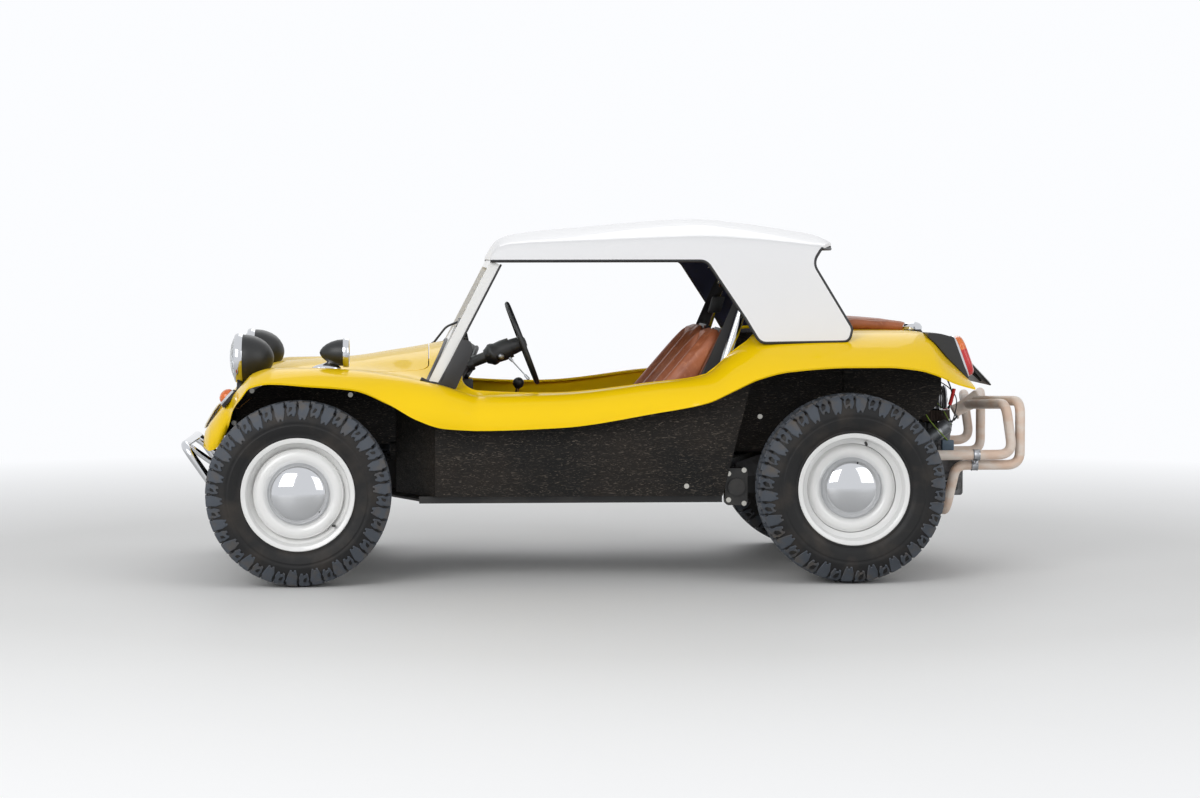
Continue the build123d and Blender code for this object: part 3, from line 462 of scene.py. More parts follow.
body = whole_skin("body_moulding")
cut(body, block("cockpit_block", mirrored_plan(COCKPIT_PLAN), spot, 400, 1200, yellow))
cut(body, block("bonnet_block", mirrored_plan(BONNET_PLAN), spot, 600, 1000, yellow))
bonnet = whole_skin("bonnet")
cut(bonnet, block("bonnet_blank", mirrored_plan(BONNET_PLAN, 3.5), spot, 600, 1000, yellow), "INTERSECT")
for face in body.data.polygons:
    # The cut edge and the inside of the cockpit's sides are yellow too.
    if 0.50 < abs(face.center.y) < 0.62 and 590 < face.center.x * 1000 - FRONT_AXLE < 1730:
        face.material_index = 0
set_on(body, stands_for=("body_shell",))
set_on(bonnet, stands_for=("hood",))


def tube(name, line, radius, material, closed=False, smooth=False, sides=5):
    """Tube or bead along a line of places, with closed ends."""
    curve = bpy.data.curves.new(name, "CURVE")
    curve.dimensions = "3D"
    curve.bevel_depth = radius
    curve.bevel_resolution = sides
    curve.use_fill_caps = not closed
    path = curve.splines.new("NURBS" if smooth else "POLY")
    path.points.add(len(line) - 1)
    for point, place in zip(path.points, line):
        point.co = (*place, 1)
    path.use_cyclic_u = closed
    if smooth:
        path.order_u = 3
        path.use_endpoint_u = not closed
        path.resolution_u = 6
    route = placed(name + "_route", curve)
    mesh = worked_out(route)
    bpy.data.objects.remove(route)
    mesh.name = name
    mesh.materials.clear()
    mesh.materials.append(material)
    shaded(mesh, 50)
    return placed(name, mesh)


rim_line = [spot(p.x, p.y, skin_height(p.x, p.y) - 5) for p in mirrored_plan(COCKPIT_PLAN)]
rim_dense = []
for k, here in enumerate(rim_line):
    after = rim_line[(k + 1) % len(rim_line)]
    runs = max(1, int((after - here).length / 0.04))
    for step in range(runs):
        place = here.lerp(after, step / runs)
        station, y = place.x * 1000 - FRONT_AXLE, place.y * 1000
        rim_dense.append(spot(station, y, skin_height(station, y) - 5))
set_on(tube("cockpit_rim", rim_dense, 0.0065, yellow, closed=True))
# Top edge of the inner cockpit sides: station, height
WALL_TOP = np.array([(512, 700), (600, 685), (660, 671), (960, 678), (1300, 716), (1500, 744), (1580, 800),
                     (1640, 840)])
for side, sign in SIDES:
    band = []
    for s in np.linspace(606, 1640, 60):
        foot, high = np.interp(s, *WALL_TOP.T) - 18, skin_height(s, sign * 562) - 7
        band.append([spot(s, sign * y, z) for y, z in ((562, foot), (565.5, foot), (565.5, high),
                                                       (562, high))])
    set_on(lofted(f"cockpit_lip_{side}", band, yellow))

# Floor pan, beam, torsion housing and suspension: pressed and cast steel under satin black paint, and the
# gearbox and engine in cast alloy, all dusty from the road. These solids already have the real shapes and
# only take their finish here.
def dress(material, *nodes):
    """Give plain solids a finish."""
    for node in nodes:
        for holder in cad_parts[node].material_slots:
            holder.material = material


chassis_black = finish("chassis_black", (0.012, 0.012, 0.012), 0.35)
patches(chassis_black, 0.12, (0.05, 0.045, 0.04), 0.5, 0.8)
polish(grain(chassis_black, 0.004, 0.0003), 0.08, 0.3, 0.6)
cast_alloy = finish("cast_alloy", (0.16, 0.16, 0.165), 0.5, 0.9)
patches(cast_alloy, 0.06, (0.05, 0.045, 0.04), 0.5, 0.75)
polish(grain(cast_alloy, 0.003, 0.0008), 0.05, 0.4, 0.7)
dress(chassis_black, "floor_pan", "front_beam", "torsion_housing", "front_suspension", "rear_suspension",
      "knuckle_left", "knuckle_right", "pitman_arm", "tie_rod_left", "tie_rod_right", "steering_column",
      "pedals")
dress(cast_alloy, "transaxle", "engine")
dress(undercoat, "side_panels", "front_bulkhead", "rear_bulkhead")
dress(yellow, "cockpit_sides")


# Wheels: pressed steel, white enamel, with a ring pressed into the disc, a domed chrome cap and a rubber
# valve. The rear ones are wider and their disc sits deeper in the rim.
def joined(name, pieces):
    """One object out of several, with all their materials."""
    built = bmesh.new()
    materials = []
    for piece in pieces:
        start = len(built.faces)
        built.from_mesh(piece.data)
        built.faces.ensure_lookup_table()
        slots = []
        for material in piece.data.materials:
            if material not in materials:
                materials.append(material)
            slots.append(materials.index(material))
        for face in built.faces[start:]:
            face.material_index = slots[face.material_index] if slots else 0
        bpy.data.objects.remove(piece)
    mesh = bpy.data.meshes.new(name)
    built.to_mesh(mesh)
    built.free()
    for material in materials:
        mesh.materials.append(material)
    return placed(name, mesh)


def turned(name, outline, centre, along, material, steps=96, angle=30.0):
    """Ring or disc turned about an axis, from places given as (millimetres along it, radius)."""
    along = Vector(along).normalized()
    side = Vector(UP) if abs(along.z) < 0.5 else Vector((0, 1, 0))
    side = (side - along * side.dot(along)).normalized()
    third = along.cross(side)
    rows = []
    for k in range(steps):
        turn = 2 * math.pi * k / steps
        out = side * math.cos(turn) + third * math.sin(turn)
        rows += [centre + (along * a + out * r) / 1000 for a, r in outline]
    ends_open = outline[0][1] > 0 or outline[-1][1] > 0
    return made(name, rows, rows_to_faces(steps, len(outline), ends_open, True), material, angle)


white_enamel = grain(finish("white_enamel", (0.80, 0.80, 0.79), 0.28, coat=0.4), 0.08, 0.0003, 2.0)
chrome = polish(finish("chrome_plate", (0.62, 0.63, 0.65), 0.06, 1.0), 0.2, 0.03, 0.10)
drum_black = polish(finish("drum_black", (0.015, 0.015, 0.015), 0.5), 0.04, 0.4, 0.7)
valve_rubber = grain(finish("valve_rubber", (0.02, 0.02, 0.02), 0.6), 0.003, 0.0003)

# Half width over the flanges, place of the disc's face, rise of the cap
WHEEL_SHAPES = {"front": (92.0, 52.0, 46.0), "rear": (108.0, 34.0, 46.0)}
wheel_places = {}
for end, (half, dish, cap_rise) in WHEEL_SHAPES.items():
    for side, outboard in SIDES:
        low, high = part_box(f"tyre_{end}_{side}")
        centre = (low + high) / 2
        body_name = f"{end}_{side}_wheel"
        wheel_places[end, side] = (centre, (high.z - low.z) * 500, (high.y - low.y) * 500, outboard,
                                   body_name)
        barrel = [(half + 4, 200), (half + 5, 205), (half + 3, 207.5), (half, 207), (half - 2, 203),
                  (half - 3, 191),
                  (half - 50, 189), (half - 66, 172), (-half + 46, 172), (-half + 34, 189), (-half + 3, 191),
                  (-half, 207), (-half - 5, 207), (-half - 3, 200), (-half - 1, 185), (-half + 30, 183),
                  (-half + 42, 166), (half - 62, 166), (half - 52, 176), (half - 44, 184), (half - 10, 187),
                  (half, 191)]
        disc = [(dish - 34, 167), (dish - 26, 167.5), (dish - 10, 166), (dish + 1, 163.5), (dish + 2, 161.5),
                (dish + 1.2, 160.5), (dish + 6, 156), (dish + 10, 148), (dish + 11.5, 140), (dish + 10, 131),
                (dish + 5, 123), (dish - 2, 118), (dish - 6, 112), (dish - 6, 40), (dish - 12, 40),
                (dish - 12, 112),
                (dish - 8, 122), (dish + 2, 132), (dish + 2, 148), (dish - 8, 158), (dish - 20, 162),
                (dish - 34, 163)]
        cap = [(dish - 5, 113.5), (dish + 1, 112.5), (dish + 4, 110.5)]
        cap += [(dish + 4 + cap_rise * math.sin(a), 109 * math.cos(a)) for a in np.linspace(0.06, 1.5, 16)]
        cap += [(dish + 4 + cap_rise, 0.2), (dish + 1 + cap_rise, 0.2)]
        cap += [(dish + 1 + cap_rise * math.sin(a), 106 * math.cos(a)) for a in np.linspace(1.5, 0.06, 16)]
        drum = [(dish - 14, 20), (dish - 14, 104), (dish - 18, 112), (dish - 86, 112), (dish - 88, 116),
                (dish - 96, 116), (dish - 96, 20)]
        out = (0, outboard, 0)
        rim = joined(f"rim_{end}_{side}", [turned("barrel", barrel, centre, out, white_enamel),
                                           turned("disc", disc, centre, out, white_enamel)])
        shaded(rim.data, 32)
        set_on(rim, body_name, (f"wheel_{end}_{side}",))
        set_on(turned(f"hub_cap_{end}_{side}", cap, centre, out, chrome, 128), body_name)
        set_on(turned(f"brake_drum_{end}_{side}", drum, centre, out, drum_black, 64), body_name)
        turn = math.radians(-42 if end == "front" else 74)
        foot = centre + Vector((0.176 * math.cos(turn), outboard * (half - 46) / 1000,
                                0.176 * math.sin(turn)))
        tip = foot + Vector((-0.006 * math.cos(turn), outboard * 0.036, -0.006 * math.sin(turn)))
        set_on(tube(f"valve_{end}_{side}", [foot, foot.lerp(tip, 0.5), tip], 0.0048, valve_rubber), body_name)

# Tyres: all-terrain radials. The carcass is turned, with a lip over the rim and rings on the sidewall;
# interlocked tread blocks and side lugs are moulded round it, one pair of pitches at a time.
tyre_rubber = finish("tyre_rubber", (0.007, 0.007, 0.0075), 0.42, specular=0.3)
patches(tyre_rubber, 0.09, (0.034, 0.028, 0.023), 0.46, 0.8)
polish(grain(tyre_rubber, 0.003, 0.0004), 0.05, 0.42, 0.62)
# The tread blocks are a paler, bluish grey than the carcass: partly worn rubber, partly a painted sheen of
# blue sky reflected on them.
tread_rubber_painted_sheen = finish("tread_rubber_painted_sheen", (0.060, 0.070, 0.086), 0.5)
patches(tread_rubber_painted_sheen, 0.05, (0.095, 0.082, 0.070), 0.48, 0.75)
polish(grain(tread_rubber_painted_sheen, 0.002, 0.0004), 0.04, 0.45, 0.7)
PITCHES = 22
# Blocks of one pitch: places as (share of the pitch, millimetres from the middle over the tread)
TREAD_BLOCKS = [
    [(0.02, -14), (0.24, -19), (0.31, -6), (0.47, -2), (0.45, 13), (0.22, 19), (0.15, 6), (0.00, 3)],
    [(0.05, 25), (0.27, 21), (0.34, 34), (0.49, 36), (0.46, 55), (0.22, 59), (0.15, 46), (0.01, 43)],
    [(0.04, 64), (0.25, 62), (0.29, 68), (0.47, 62), (0.46, 92), (0.50, 98), (0.44, 122), (0.36, 140),
     (0.30, 140),
     (0.27, 134), (0.20, 134), (0.17, 140), (0.10, 140), (0.03, 118), (0.06, 100)],
]
# Shorter lug between two long ones on the shoulder
SHORT_LUG = [(0.55, 62), (0.78, 66), (0.83, 60), (0.96, 62), (0.97, 88), (0.94, 96), (0.96, 112), (0.88, 128),
             (0.80, 128), (0.77, 120), (0.68, 122), (0.64, 128), (0.57, 124), (0.55, 104), (0.59, 96)]


def tread_line(radius, half):
    """Outer line of the tread over the shoulder: distance from the middle, outboard place, radius."""
    line = [(0, radius), (45, radius - 0.6), (75, radius - 4), (half - 17, radius - 11),
            (half - 8, radius - 20),
            (half - 2.5, radius - 34), (half - 0.5, radius - 50), (half, radius - 75)]
    reach = np.concatenate([[0], np.cumsum(np.hypot(*np.diff(np.array(line), axis=0).T))])
    return reach, np.array(line)[:, 0], np.array(line)[:, 1]


def tread_pitch(name, radius, half, outboard):
    """The blocks of one pitch, bent round the crown at the top of the tyre, about its own centre."""
    reach, outs, radii = tread_line(radius, half)
    stretch = (reach[-1] - 8) / 142
    places, faces = [], []
    outlines = []
    for hand, late, inner in ((1, 0, TREAD_BLOCKS[:2]), (-1, 0.25, TREAD_BLOCKS[1:2])):
        outlines += [[(u + shift + late, hand * d) for u, d in line] for shift in (0.0, 0.5)
                     for line in inner]
        outlines += [[(u + late, hand * d) for u, d in line] for line in (TREAD_BLOCKS[2], SHORT_LUG)]
    for outline in outlines:
        u_mid = sum(u for u, _ in outline) / len(outline)
        d_mid = sum(d for _, d in outline) / len(outline)
        start, n = len(places), len(outline)
        for sink, share in ((13.0, 1.06), (2.0, 1.0), (0.0, 0.90)):
            for u, d in outline:
                u, d = u_mid + (u - u_mid) * share, d_mid + (d - d_mid) * (1 + (share - 1) * 0.7)
                away = min(abs(d) * stretch if abs(d) > 60 else abs(d), reach[-1])
                out = math.copysign(np.interp(away, reach, outs), d)
                far = np.interp(away, reach, radii)
                lean = float(np.clip((away - 70) / 50, 0, 1)) * math.pi / 2.3
                out -= math.copysign(sink * math.sin(lean), d) * 0.8
                far -= sink * math.cos(lean)
                turn = 2 * math.pi * u / PITCHES
                places.append(Vector((far * math.sin(turn), outboard * out, far * math.cos(turn))) / 1000)
        for ring in (0, 1):
            for k in range(n):
                a, b = start + ring * n + k, start + ring * n + (k + 1) % n
                faces.append((a, b, b + n, a + n))
        faces.append(tuple(range(start + 2 * n, start + 3 * n)))
        faces.append(tuple(range(start + n - 1, start - 1, -1)))
    return made(name, places, faces, tread_rubber_painted_sheen, 30)


def repeater(name, material, inputs, nodes, links):
    """Nodes with named inputs that put a piece at points, made real and given its material."""
    tree = bpy.data.node_groups.new(name, "GeometryNodeTree")
    for label, kind in {"Geometry": "Geometry", **inputs}.items():
        tree.interface.new_socket(label, in_out="INPUT", socket_type="NodeSocket" + kind)
    tree.interface.new_socket("Geometry", in_out="OUTPUT", socket_type="NodeSocketGeometry")
    wired(tree, {"in": ("NodeGroupInput", {}), "out": ("NodeGroupOutput", {}), **nodes,
                 "put": ("GeometryNodeInstanceOnPoints", {}), "real": ("GeometryNodeRealizeInstances", {}),
                 "paint": ("GeometryNodeSetMaterial", {"Material": material})},
          links + [("put", 0, "real", 0), ("real", 0, "paint", "Geometry"), ("paint", 0, "out", 0)])
    return tree


def repeated(piece, tree, angle=35.0, **values):
    """Repeat a piece by a tree with its inputs set, and keep the plain mesh."""
    repeat = piece.modifiers.new("repeat", "NODES")
    repeat.node_group = tree
    for item in tree.interface.items_tree:
        if item.in_out == "INPUT" and item.name in values:
            repeat[item.identifier] = values[item.name]
    return settled(piece, angle)


def ring_tree(name, material):
    """Nodes that repeat a piece evenly round the axle, with the count as an input."""
    return repeater(name, material, {"Copies": "Int"}, {
        "points": ("GeometryNodePoints", {}), "index": ("GeometryNodeInputIndex", {}),
        "share": ("ShaderNodeMath", {"operation": "DIVIDE"}),
        "turn": ("ShaderNodeMath", {"operation": "MULTIPLY", 1: 2 * math.pi}),
        "about": ("ShaderNodeCombineXYZ", {})}, [
        ("in", "Copies", "points", "Count"), ("index", 0, "share", 0), ("in", "Copies", "share", 1),
        ("share", 0, "turn", 0), ("turn", 0, "about", "Y"), ("points", 0, "put", "Points"),
        ("in", "Geometry", "put", "Instance"), ("about", 0, "put", "Rotation")])


tread_ring = ring_tree("tread_ring", tread_rubber_painted_sheen)
for (end, side), (centre, radius, half, outboard, body_name) in wheel_places.items():
    rim_half = WHEEL_SHAPES[end][0]
    base = radius - 12
    crown = [(half - 32, base - 2), (half - 17, base - 9), (half - 9, base - 22), (half - 5, base - 40),
             (half - 3, radius - 68), (half - 2.2, radius - 76), (half - 3, radius - 78),
             (half - 3.4, radius - 86),
             (half - 2.6, radius - 88), (half - 3, radius - 90), (half - 4.5, 236), (half - 8, 226),
             (rim_half + 5, 217),
             (rim_half + 5.5, 212), (rim_half + 3, 209), (rim_half - 4, 207), (rim_half - 6, 193)]
    outline = [(0, base)] + crown + [(-a, r) for a, r in crown[::-1]]
    carcass = turned(f"carcass_{end}_{side}", outline, centre, (0, outboard, 0), tyre_rubber, 120, 24)
    blocks = repeated(tread_pitch(f"tread_{end}_{side}", radius, half, outboard), tread_ring, 30,
                      Copies=PITCHES)
    blocks.data.transform(Matrix.Translation(centre))
    tyre = joined(f"tyre_tread_{end}_{side}", [carcass, blocks])
    shaded(tyre.data, 28)
    set_on(tyre, body_name, (f"tyre_{end}_{side}",))

# Windscreen: a frame of white painted channel with flat, nearly clear glass, leaning back over the cowl.
# The frame's own solid has the real shape and takes its finish here.
dress(white_enamel, "windscreen_frame")
dress(finish("clear_glass", (0.93, 0.97, 0.96), 0.0, clear=1.0, ior=1.04), "window_glass")
black_rubber = grain(finish("black_rubber", (0.012, 0.012, 0.014), 0.5), 0.002, 0.0002)

# Hardtop: one white glass-fibre moulding over the screen and the seats, with big quarter panels leaning
# inwards, a sloping back panel with a window, and a black rubber bead all round its lower edge.
# Columns: station, middle height, shoulder height
ROOF_ROWS = np.array([
    (706, 1206, 1200),
    (722, 1246, 1226),
    (742, 1270, 1240),
    (790, 1290, 1250),
    (1094, 1324, 1264),
    (1407, 1350, 1276),
    (1511, 1354, 1278),
    (1700, 1337, 1268),
    (1900, 1307, 1248),
    (1971, 1294, 1240),
    (2003, 1279, 1232),
    (2024, 1256, 1222),
    (2034, 1232, 1212),
], float)
ROOF_WALL = 12.0
EAVE_Y, EAVE_Z, QUARTER_LEAN, ROOF_LEAN = 592, 1191, 48 / 302, 0.30
# Side outline of the moulding: station, height, corner radius
HARDTOP_SIDE = [(700, 1191, 2), (1512, 1191, 45), (1655, 975, 0), (1708, 886, 42), (2040, 891, 46),
                (2052, 938, 30),
                (1908, 1183, 60), (1945, 1240, 26), (2040, 1234, 3), (2040, 1400, 0), (700, 1400, 0)]


def roof_side(z):
    """Half width of the hardtop at a height: quarter panels below the eave, the roof's own side above it."""
    return EAVE_Y + (EAVE_Z - z) * (QUARTER_LEAN if z <= EAVE_Z else ROOF_LEAN)


def roof_line(row, inset):
    """One cross-section of the roof and its sides, down to the quarter panels' foot."""
    _, middle, shoulder = row
    line = [(roof_side(z), z) for z in np.linspace(880, EAVE_Z, 8)]
    line += [(roof_side(z), z) for z in np.linspace(EAVE_Z, shoulder - 6, 5)[1:]]
    top_y = line[-1][0] - 14
    line += [(top_y + 7, shoulder + 1)]
    arch = bowed(top_y, shoulder + 5, middle, 26)
    return set_in(np.array(line + arch + [(-y, z) for y, z in line[::-1]]), inset)


white_gelcoat = grain(finish("white_gelcoat", (0.80, 0.80, 0.81), 0.32, coat=0.3), 0.25, 0.0006, 3.0)
navy = grain(finish("navy_vinyl", (0.010, 0.014, 0.055), 0.42), 0.002, 0.0002)
patches(navy, 0.2, (0.018, 0.024, 0.08), 0.4, 0.8)
roof_stations = np.unique(np.concatenate([np.arange(706, 2034, 16.0), ROOF_ROWS[:, 0]]))
roof_rows = np.stack([carried(ROOF_ROWS[:, 0], ROOF_ROWS[:, k], roof_stations) for k in range(3)], 1)
roof_rows = np.vstack([roof_rows, roof_rows[-1] + np.array([26, 0, 0])])
roof_stations = np.append(roof_stations, 2060)
hardtop = shell_between("hardtop_moulding", roof_stations, [roof_line(r, 0) for r in roof_rows],
                        [roof_line(r, ROOF_WALL) for r in roof_rows], [white_gelcoat, navy], 40)
hardtop_edge = rounded(HARDTOP_SIDE, 8)
cut(hardtop, block("side_cut", hardtop_edge, lambda s, z, y: spot(s, y, z), -720, 720, yellow), "INTERSECT")
# Rear lip in plan: station, half width
LIP_PLAN = [(1925, 640), (1952, 575), (1990, 450), (2018, 300), (2034, 150), (2039, 0)]
lip_outline = [Vector((s, -y)) for s, y in LIP_PLAN] + [Vector((s, y)) for s, y in LIP_PLAN[-2::-1]]
lip_outline += [Vector((2200, 640)), Vector((2200, -640))]
cut(hardtop, block("lip_cut", lip_outline, spot, 1205, 1400, yellow))
for face in hardtop.data.polygons:
    if face.material_index > 1:
        face.material_index = 0
set_on(hardtop, stands_for=("hardtop",))
bead_line = [(706, 1190)] + [(p.x, p.y) for p in hardtop_edge[9:9 * 8 + 6] if p.y < 1238 and p.x < 1946
                             or p.y < 1190]
bead_half = [spot(s, 587 if s == 706 else roof_side(z) - 5, z) for s, z in bead_line]
bead_half += [spot(s - 4, y, 1236) for s, y in LIP_PLAN[1:]]
bead = bead_half + [Vector((p.x, -p.y, p.z)) for p in bead_half[-2::-1]]
set_on(tube("hardtop_bead", bead, 0.0062, black_rubber))

# Sloping back panel: place of its foot and its top
(foot_s, foot_z), (top_s, top_z) = (2026, 936), (1905, 1196)
panel_length = math.hypot(top_s - foot_s, top_z - foot_z)
back_place = leaning(foot_s, foot_z, math.atan2(top_s - foot_s, top_z - foot_z))


def bevelled(piece, width):
    """Round the edges of a piece."""
    edge = piece.modifiers.new("edge", "BEVEL")
    edge.width, edge.segments, edge.limit_method = width, 2, "ANGLE"
    return piece


def framed(name, outer, hole, thick, place, material):
    """Panel between an outer outline and a hole of as many points, given thickness."""
    n = len(outer)
    places = [place(p.x, p.y, out) for out in (0.0, -thick) for ring in (outer, hole) for p in ring]
    faces = []
    for k in range(n):
        m = (k + 1) % n
        faces += [(k, m, n + m, n + k), (2 * n + m, 2 * n + k, 3 * n + k, 3 * n + m),
                  (m, k, 2 * n + k, 2 * n + m), (n + k, n + m, 3 * n + m, 3 * n + k)]
    return bevelled(made(name, places, faces, material), 0.003)


panel_outline = rounded([(-618, 0, 60), (618, 0, 60), (590, panel_length, 10), (-590, panel_length, 10)], 7)
window_outline = rounded([(-380, 58, 45), (380, 58, 45), (372, panel_length - 58, 45),
                          (-372, panel_length - 58, 45)], 7)
set_on(framed("back_panel", panel_outline, window_outline, 10, back_place, white_gelcoat))
set_on(tube("back_window_seal", [back_place(p.x, p.y, 1) for p in window_outline], 0.006, black_rubber,
            closed=True))

# Lining of the hardtop: navy vinyl glued to the inside of the moulding, printed with plain white stars
# that lie at every angle.
star_white = grain(finish("star_white", (0.78, 0.78, 0.76), 0.5), 0.003, 0.0002)


def room_at(place, outline):
    """Distance in millimetres from a place to a side outline."""
    here = np.array([place.x * 1000 - FRONT_AXLE, place.z * 1000])
    start = np.array([[p.x, p.y] for p in outline])
    run = np.roll(start, -1, axis=0) - start
    length = np.maximum((run ** 2).sum(1), 1e-6)
    share = np.clip(((here - start) * run).sum(1) / length, 0, 1)
    return float(np.min(np.linalg.norm(start + run * share[:, None] - here, axis=1)))


STAR_R = 19.0
lining_cut = bmesh.new()
lining_cut.from_mesh(hardtop.data)
bmesh.ops.delete(lining_cut, geom=[f for f in lining_cut.faces if f.material_index != 1
                                   or room_at(f.calc_center_median(), hardtop_edge) < STAR_R + 14],
                 context="FACES")
lining_mesh = bpy.data.meshes.new("lining_area")
lining_cut.to_mesh(lining_mesh)
lining_cut.free()
lining_area = placed("lining_area", lining_mesh)

scatter = repeater("scattered_stars", star_white, {"Surface": "Object", "Spacing": "Float",
                                                   "Density": "Float", "Seed": "Int"}, {
    "surface": ("GeometryNodeObjectInfo", {}),
    "strew": ("GeometryNodeDistributePointsOnFaces", {"distribute_method": "POISSON"}),
    "chance": ("FunctionNodeRandomValue", {"Max": 2 * math.pi}), "about": ("ShaderNodeCombineXYZ", {}),
    "as_turn": ("FunctionNodeEulerToRotation", {}), "again": ("FunctionNodeRotateRotation",
                                                              {"rotation_space": "LOCAL"})}, [
    ("in", "Surface", "surface", "Object"), ("surface", "Geometry", "strew", "Mesh"),
    ("in", "Spacing", "strew", "Distance Min"), ("in", "Density", "strew", "Density Max"),
    ("in", "Seed", "strew", "Seed"),
    ("chance", 1, "about", "Z"), ("about", 0, "as_turn", 0), ("strew", "Rotation", "again", 0),
    ("as_turn", 0, "again", 1),
    ("strew", "Points", "put", "Points"), ("in", "Geometry", "put", "Instance"),
    ("again", 0, "put", "Rotation")])
star_line = [STAR_R * (1 if k % 2 == 0 else 0.42) * Vector((math.sin(math.pi * k / 5),
                                                            math.cos(math.pi * k / 5))) for k in range(10)]
stars = block("lining_stars", star_line, lambda x, y, z: Vector((x, y, z)) / 1000, -0.5, 0.9, star_white)
repeated(stars, scatter, Surface=lining_area, Spacing=0.085, Density=90.0, Seed=4)
bpy.data.objects.remove(lining_area)
set_on(stars)

# Windscreen fittings: the frame stands in a black rubber on the cowl, a rubber channel closes the rear edge
# of each pillar, and one wiper is set on the cowl in front of the passenger.
def bends(corners, radius):
    """Path of straight runs with an arc at each corner, from stations, y and heights."""
    places = [spot(*c) for c in corners]
    line = [places[0]]
    for before, here, after in zip(places, places[1:], places[2:]):
        back, on = before - here, after - here
        half = back.angle(on) / 2
        cut_back = min(radius / 1000 / max(math.tan(half), 0.05), 0.48 * back.length, 0.48 * on.length)
        start, end = here + back.normalized() * cut_back, here + on.normalized() * cut_back
        line += [start * (1 - t) ** 2 + here * 2 * t * (1 - t) + end * t * t for t in np.linspace(0, 1, 9)]
    return line + [places[-1]]


def screen_station(z):
    """Station of the screen's plane at a height."""
    return 492 + (z - 731) * math.tan(math.radians(27.5))


def screen_spot(y, off):
    """Place where a line parallel to the screen meets the body, some millimetres ahead of or behind it."""
    z = 800.0
    for _ in range(5):
        station = screen_station(z) + off
        z = skin_height(station, y)
    return spot(station, y, z + 2)


gasket_ys = np.linspace(-592, 592, 57)
gasket_line = [screen_spot(y, -25) for y in gasket_ys] + [screen_spot(y, 25) for y in gasket_ys[::-1]]
set_on(tube("screen_gasket", gasket_line, 0.0075, black_rubber, closed=True))
for side, sign in SIDES:
    channel = [spot(screen_station(z) + 17.5, sign * (598 - (z - 744) * 26 / 439), z - 9)
               for z in np.linspace(752, 1186, 12)]
    foot_line = [spot(s, sign * 603, z) for s, z in ((447, 754), (475, 740), (505, 725), (534, 711))]
    set_on(joined(f"pillar_rubber_{side}", [tube("channel", channel, 0.004, black_rubber),
                                            tube("foot", foot_line, 0.008, black_rubber)]))
satin_black = polish(grain(finish("satin_black", (0.014, 0.014, 0.015), 0.4), 0.002, 0.0001), 0.05, 0.32, 0.5)
wiper_foot = skin_height(500, 250)
wiper_parts = [turned("pivot", [(-6, 0), (-6, 16), (4, 15), (8, 9), (22, 8), (24, 0)],
                      spot(500, 250, wiper_foot), (-0.35, 0, 0.94), satin_black, 32),
               tube("arm", bends([(494, 250, wiper_foot + 16), (545, 244, 926), (598, 236, 948)], 60), 0.0045,
                    satin_black),
               tube("blade", [spot(screen_station(z) - 8, y, z)
                              for y, z in ((70, 930), (150, 940), (240, 947), (330, 952), (420, 953))], 0.005,
                    satin_black, sides=3),
               tube("lip", [spot(screen_station(z) - 5, y, z - 5)
                            for y, z in ((64, 929), (240, 946), (428, 952))], 0.0028, black_rubber, sides=3)]
set_on(joined("screen_wiper", wiper_parts))

# Roll hoop and front bumper: bent steel tube, chrome plated. The hoop is bolted to the floor rails behind
# the seats, the bumper's bow and its two braces to the front beam.
hoop = tube("hoop_tube", bends([(1426, -538, 313), (1700, -538, 1168), (1700, 538, 1168), (1426, 538, 313)],
                               150), 0.020, chrome, sides=8)
set_on(hoop, stands_for=("roll_hoop",))
bumper_parts = [tube("bow", bends([(-200, -290, 265), (-250, -290, 265), (-350, -330, 350), (-449, -330, 492),
                                   (-449, 330, 492), (-350, 330, 350), (-250, 290, 265), (-200, 290, 265)],
                                  55), 0.016, chrome, sides=8)]
for y in (-200, 200):
    bumper_parts.append(tube("brace", bends([(-447, y, 484), (-350, y, 415), (-200, y, 415)], 30), 0.012,
                             chrome))
set_on(joined("bumper_tubes", bumper_parts), stands_for=("front_bumper",))

# Exhaust header: four mandrel-bent pipes in a pale ceramic coat, with paler and baked brown patches scattered
# over it, that run into one collector. Flanges hold them to the heads, and a steel clamp ties each pair.
pipe_coat = finish("pipe_ceramic", (0.74, 0.55, 0.43), 0.42)
patches(pipe_coat, 0.10, (0.80, 0.71, 0.63), 0.38, 0.62, (1, 1, 2.2))
patches(pipe_coat, 0.16, (0.60, 0.34, 0.20), 0.56, 0.8)
polish(grain(pipe_coat, 0.004, 0.0003), 0.06, 0.35, 0.6)
clamp_steel = polish(grain(finish("clamp_steel", (0.42, 0.43, 0.45), 0.3, 1.0), 0.01, 0.0003), 0.03, 0.22,
                     0.45)
# Corners of the pipes from front and rear heads to the collector: station, distance from the middle, height
FRONT_LOOP = [(2300, -300, 289), (2300, -300, 236), (2300, -425, 236), (2366, -435, 450), (2700, -435, 452),
              (2672, -435, 646), (2604, 0, 622)]
REAR_LOOP = [(2450, -300, 289), (2450, -300, 236), (2450, -394, 236), (2490, -394, 410), (2736, -394, 410),
             (2736, -394, 655), (2630, 0, 637)]
pipes, clamps = [], []
for _, sign in SIDES:
    for loop in (FRONT_LOOP, REAR_LOOP):
        pipes.append(tube("pipe", bends([(s, -sign * y, z) for s, y, z in loop], 50), 0.019, pipe_coat,
                          sides=8))
        pipes.append(turned("flange", [(0, 19), (0, 36), (3, 38), (9, 38), (12, 34), (12, 19)],
                            spot(loop[0][0], -sign * loop[0][1], 276), UP, clamp_steel, 40))
    band = [(-13, 19), (-13, 21), (-11, 22.5), (-8, 21.2), (8, 21.2), (11, 22.5), (13, 21), (13, 19)]
    clamps.append(turned("band", band, spot(2560, sign * 435, 451), AFT, clamp_steel, 40))
    clamps.append(turned("band", band, spot(2560, sign * 394, 410), AFT, clamp_steel, 40))
    clamps.append(turned("bolt", [(-9, 0), (-9, 8), (-6, 9), (0, 9), (1, 5), (20, 5), (20, 0)],
                         spot(2560, sign * 432, 424), (0, sign, 0), clamp_steel, 6, 20))
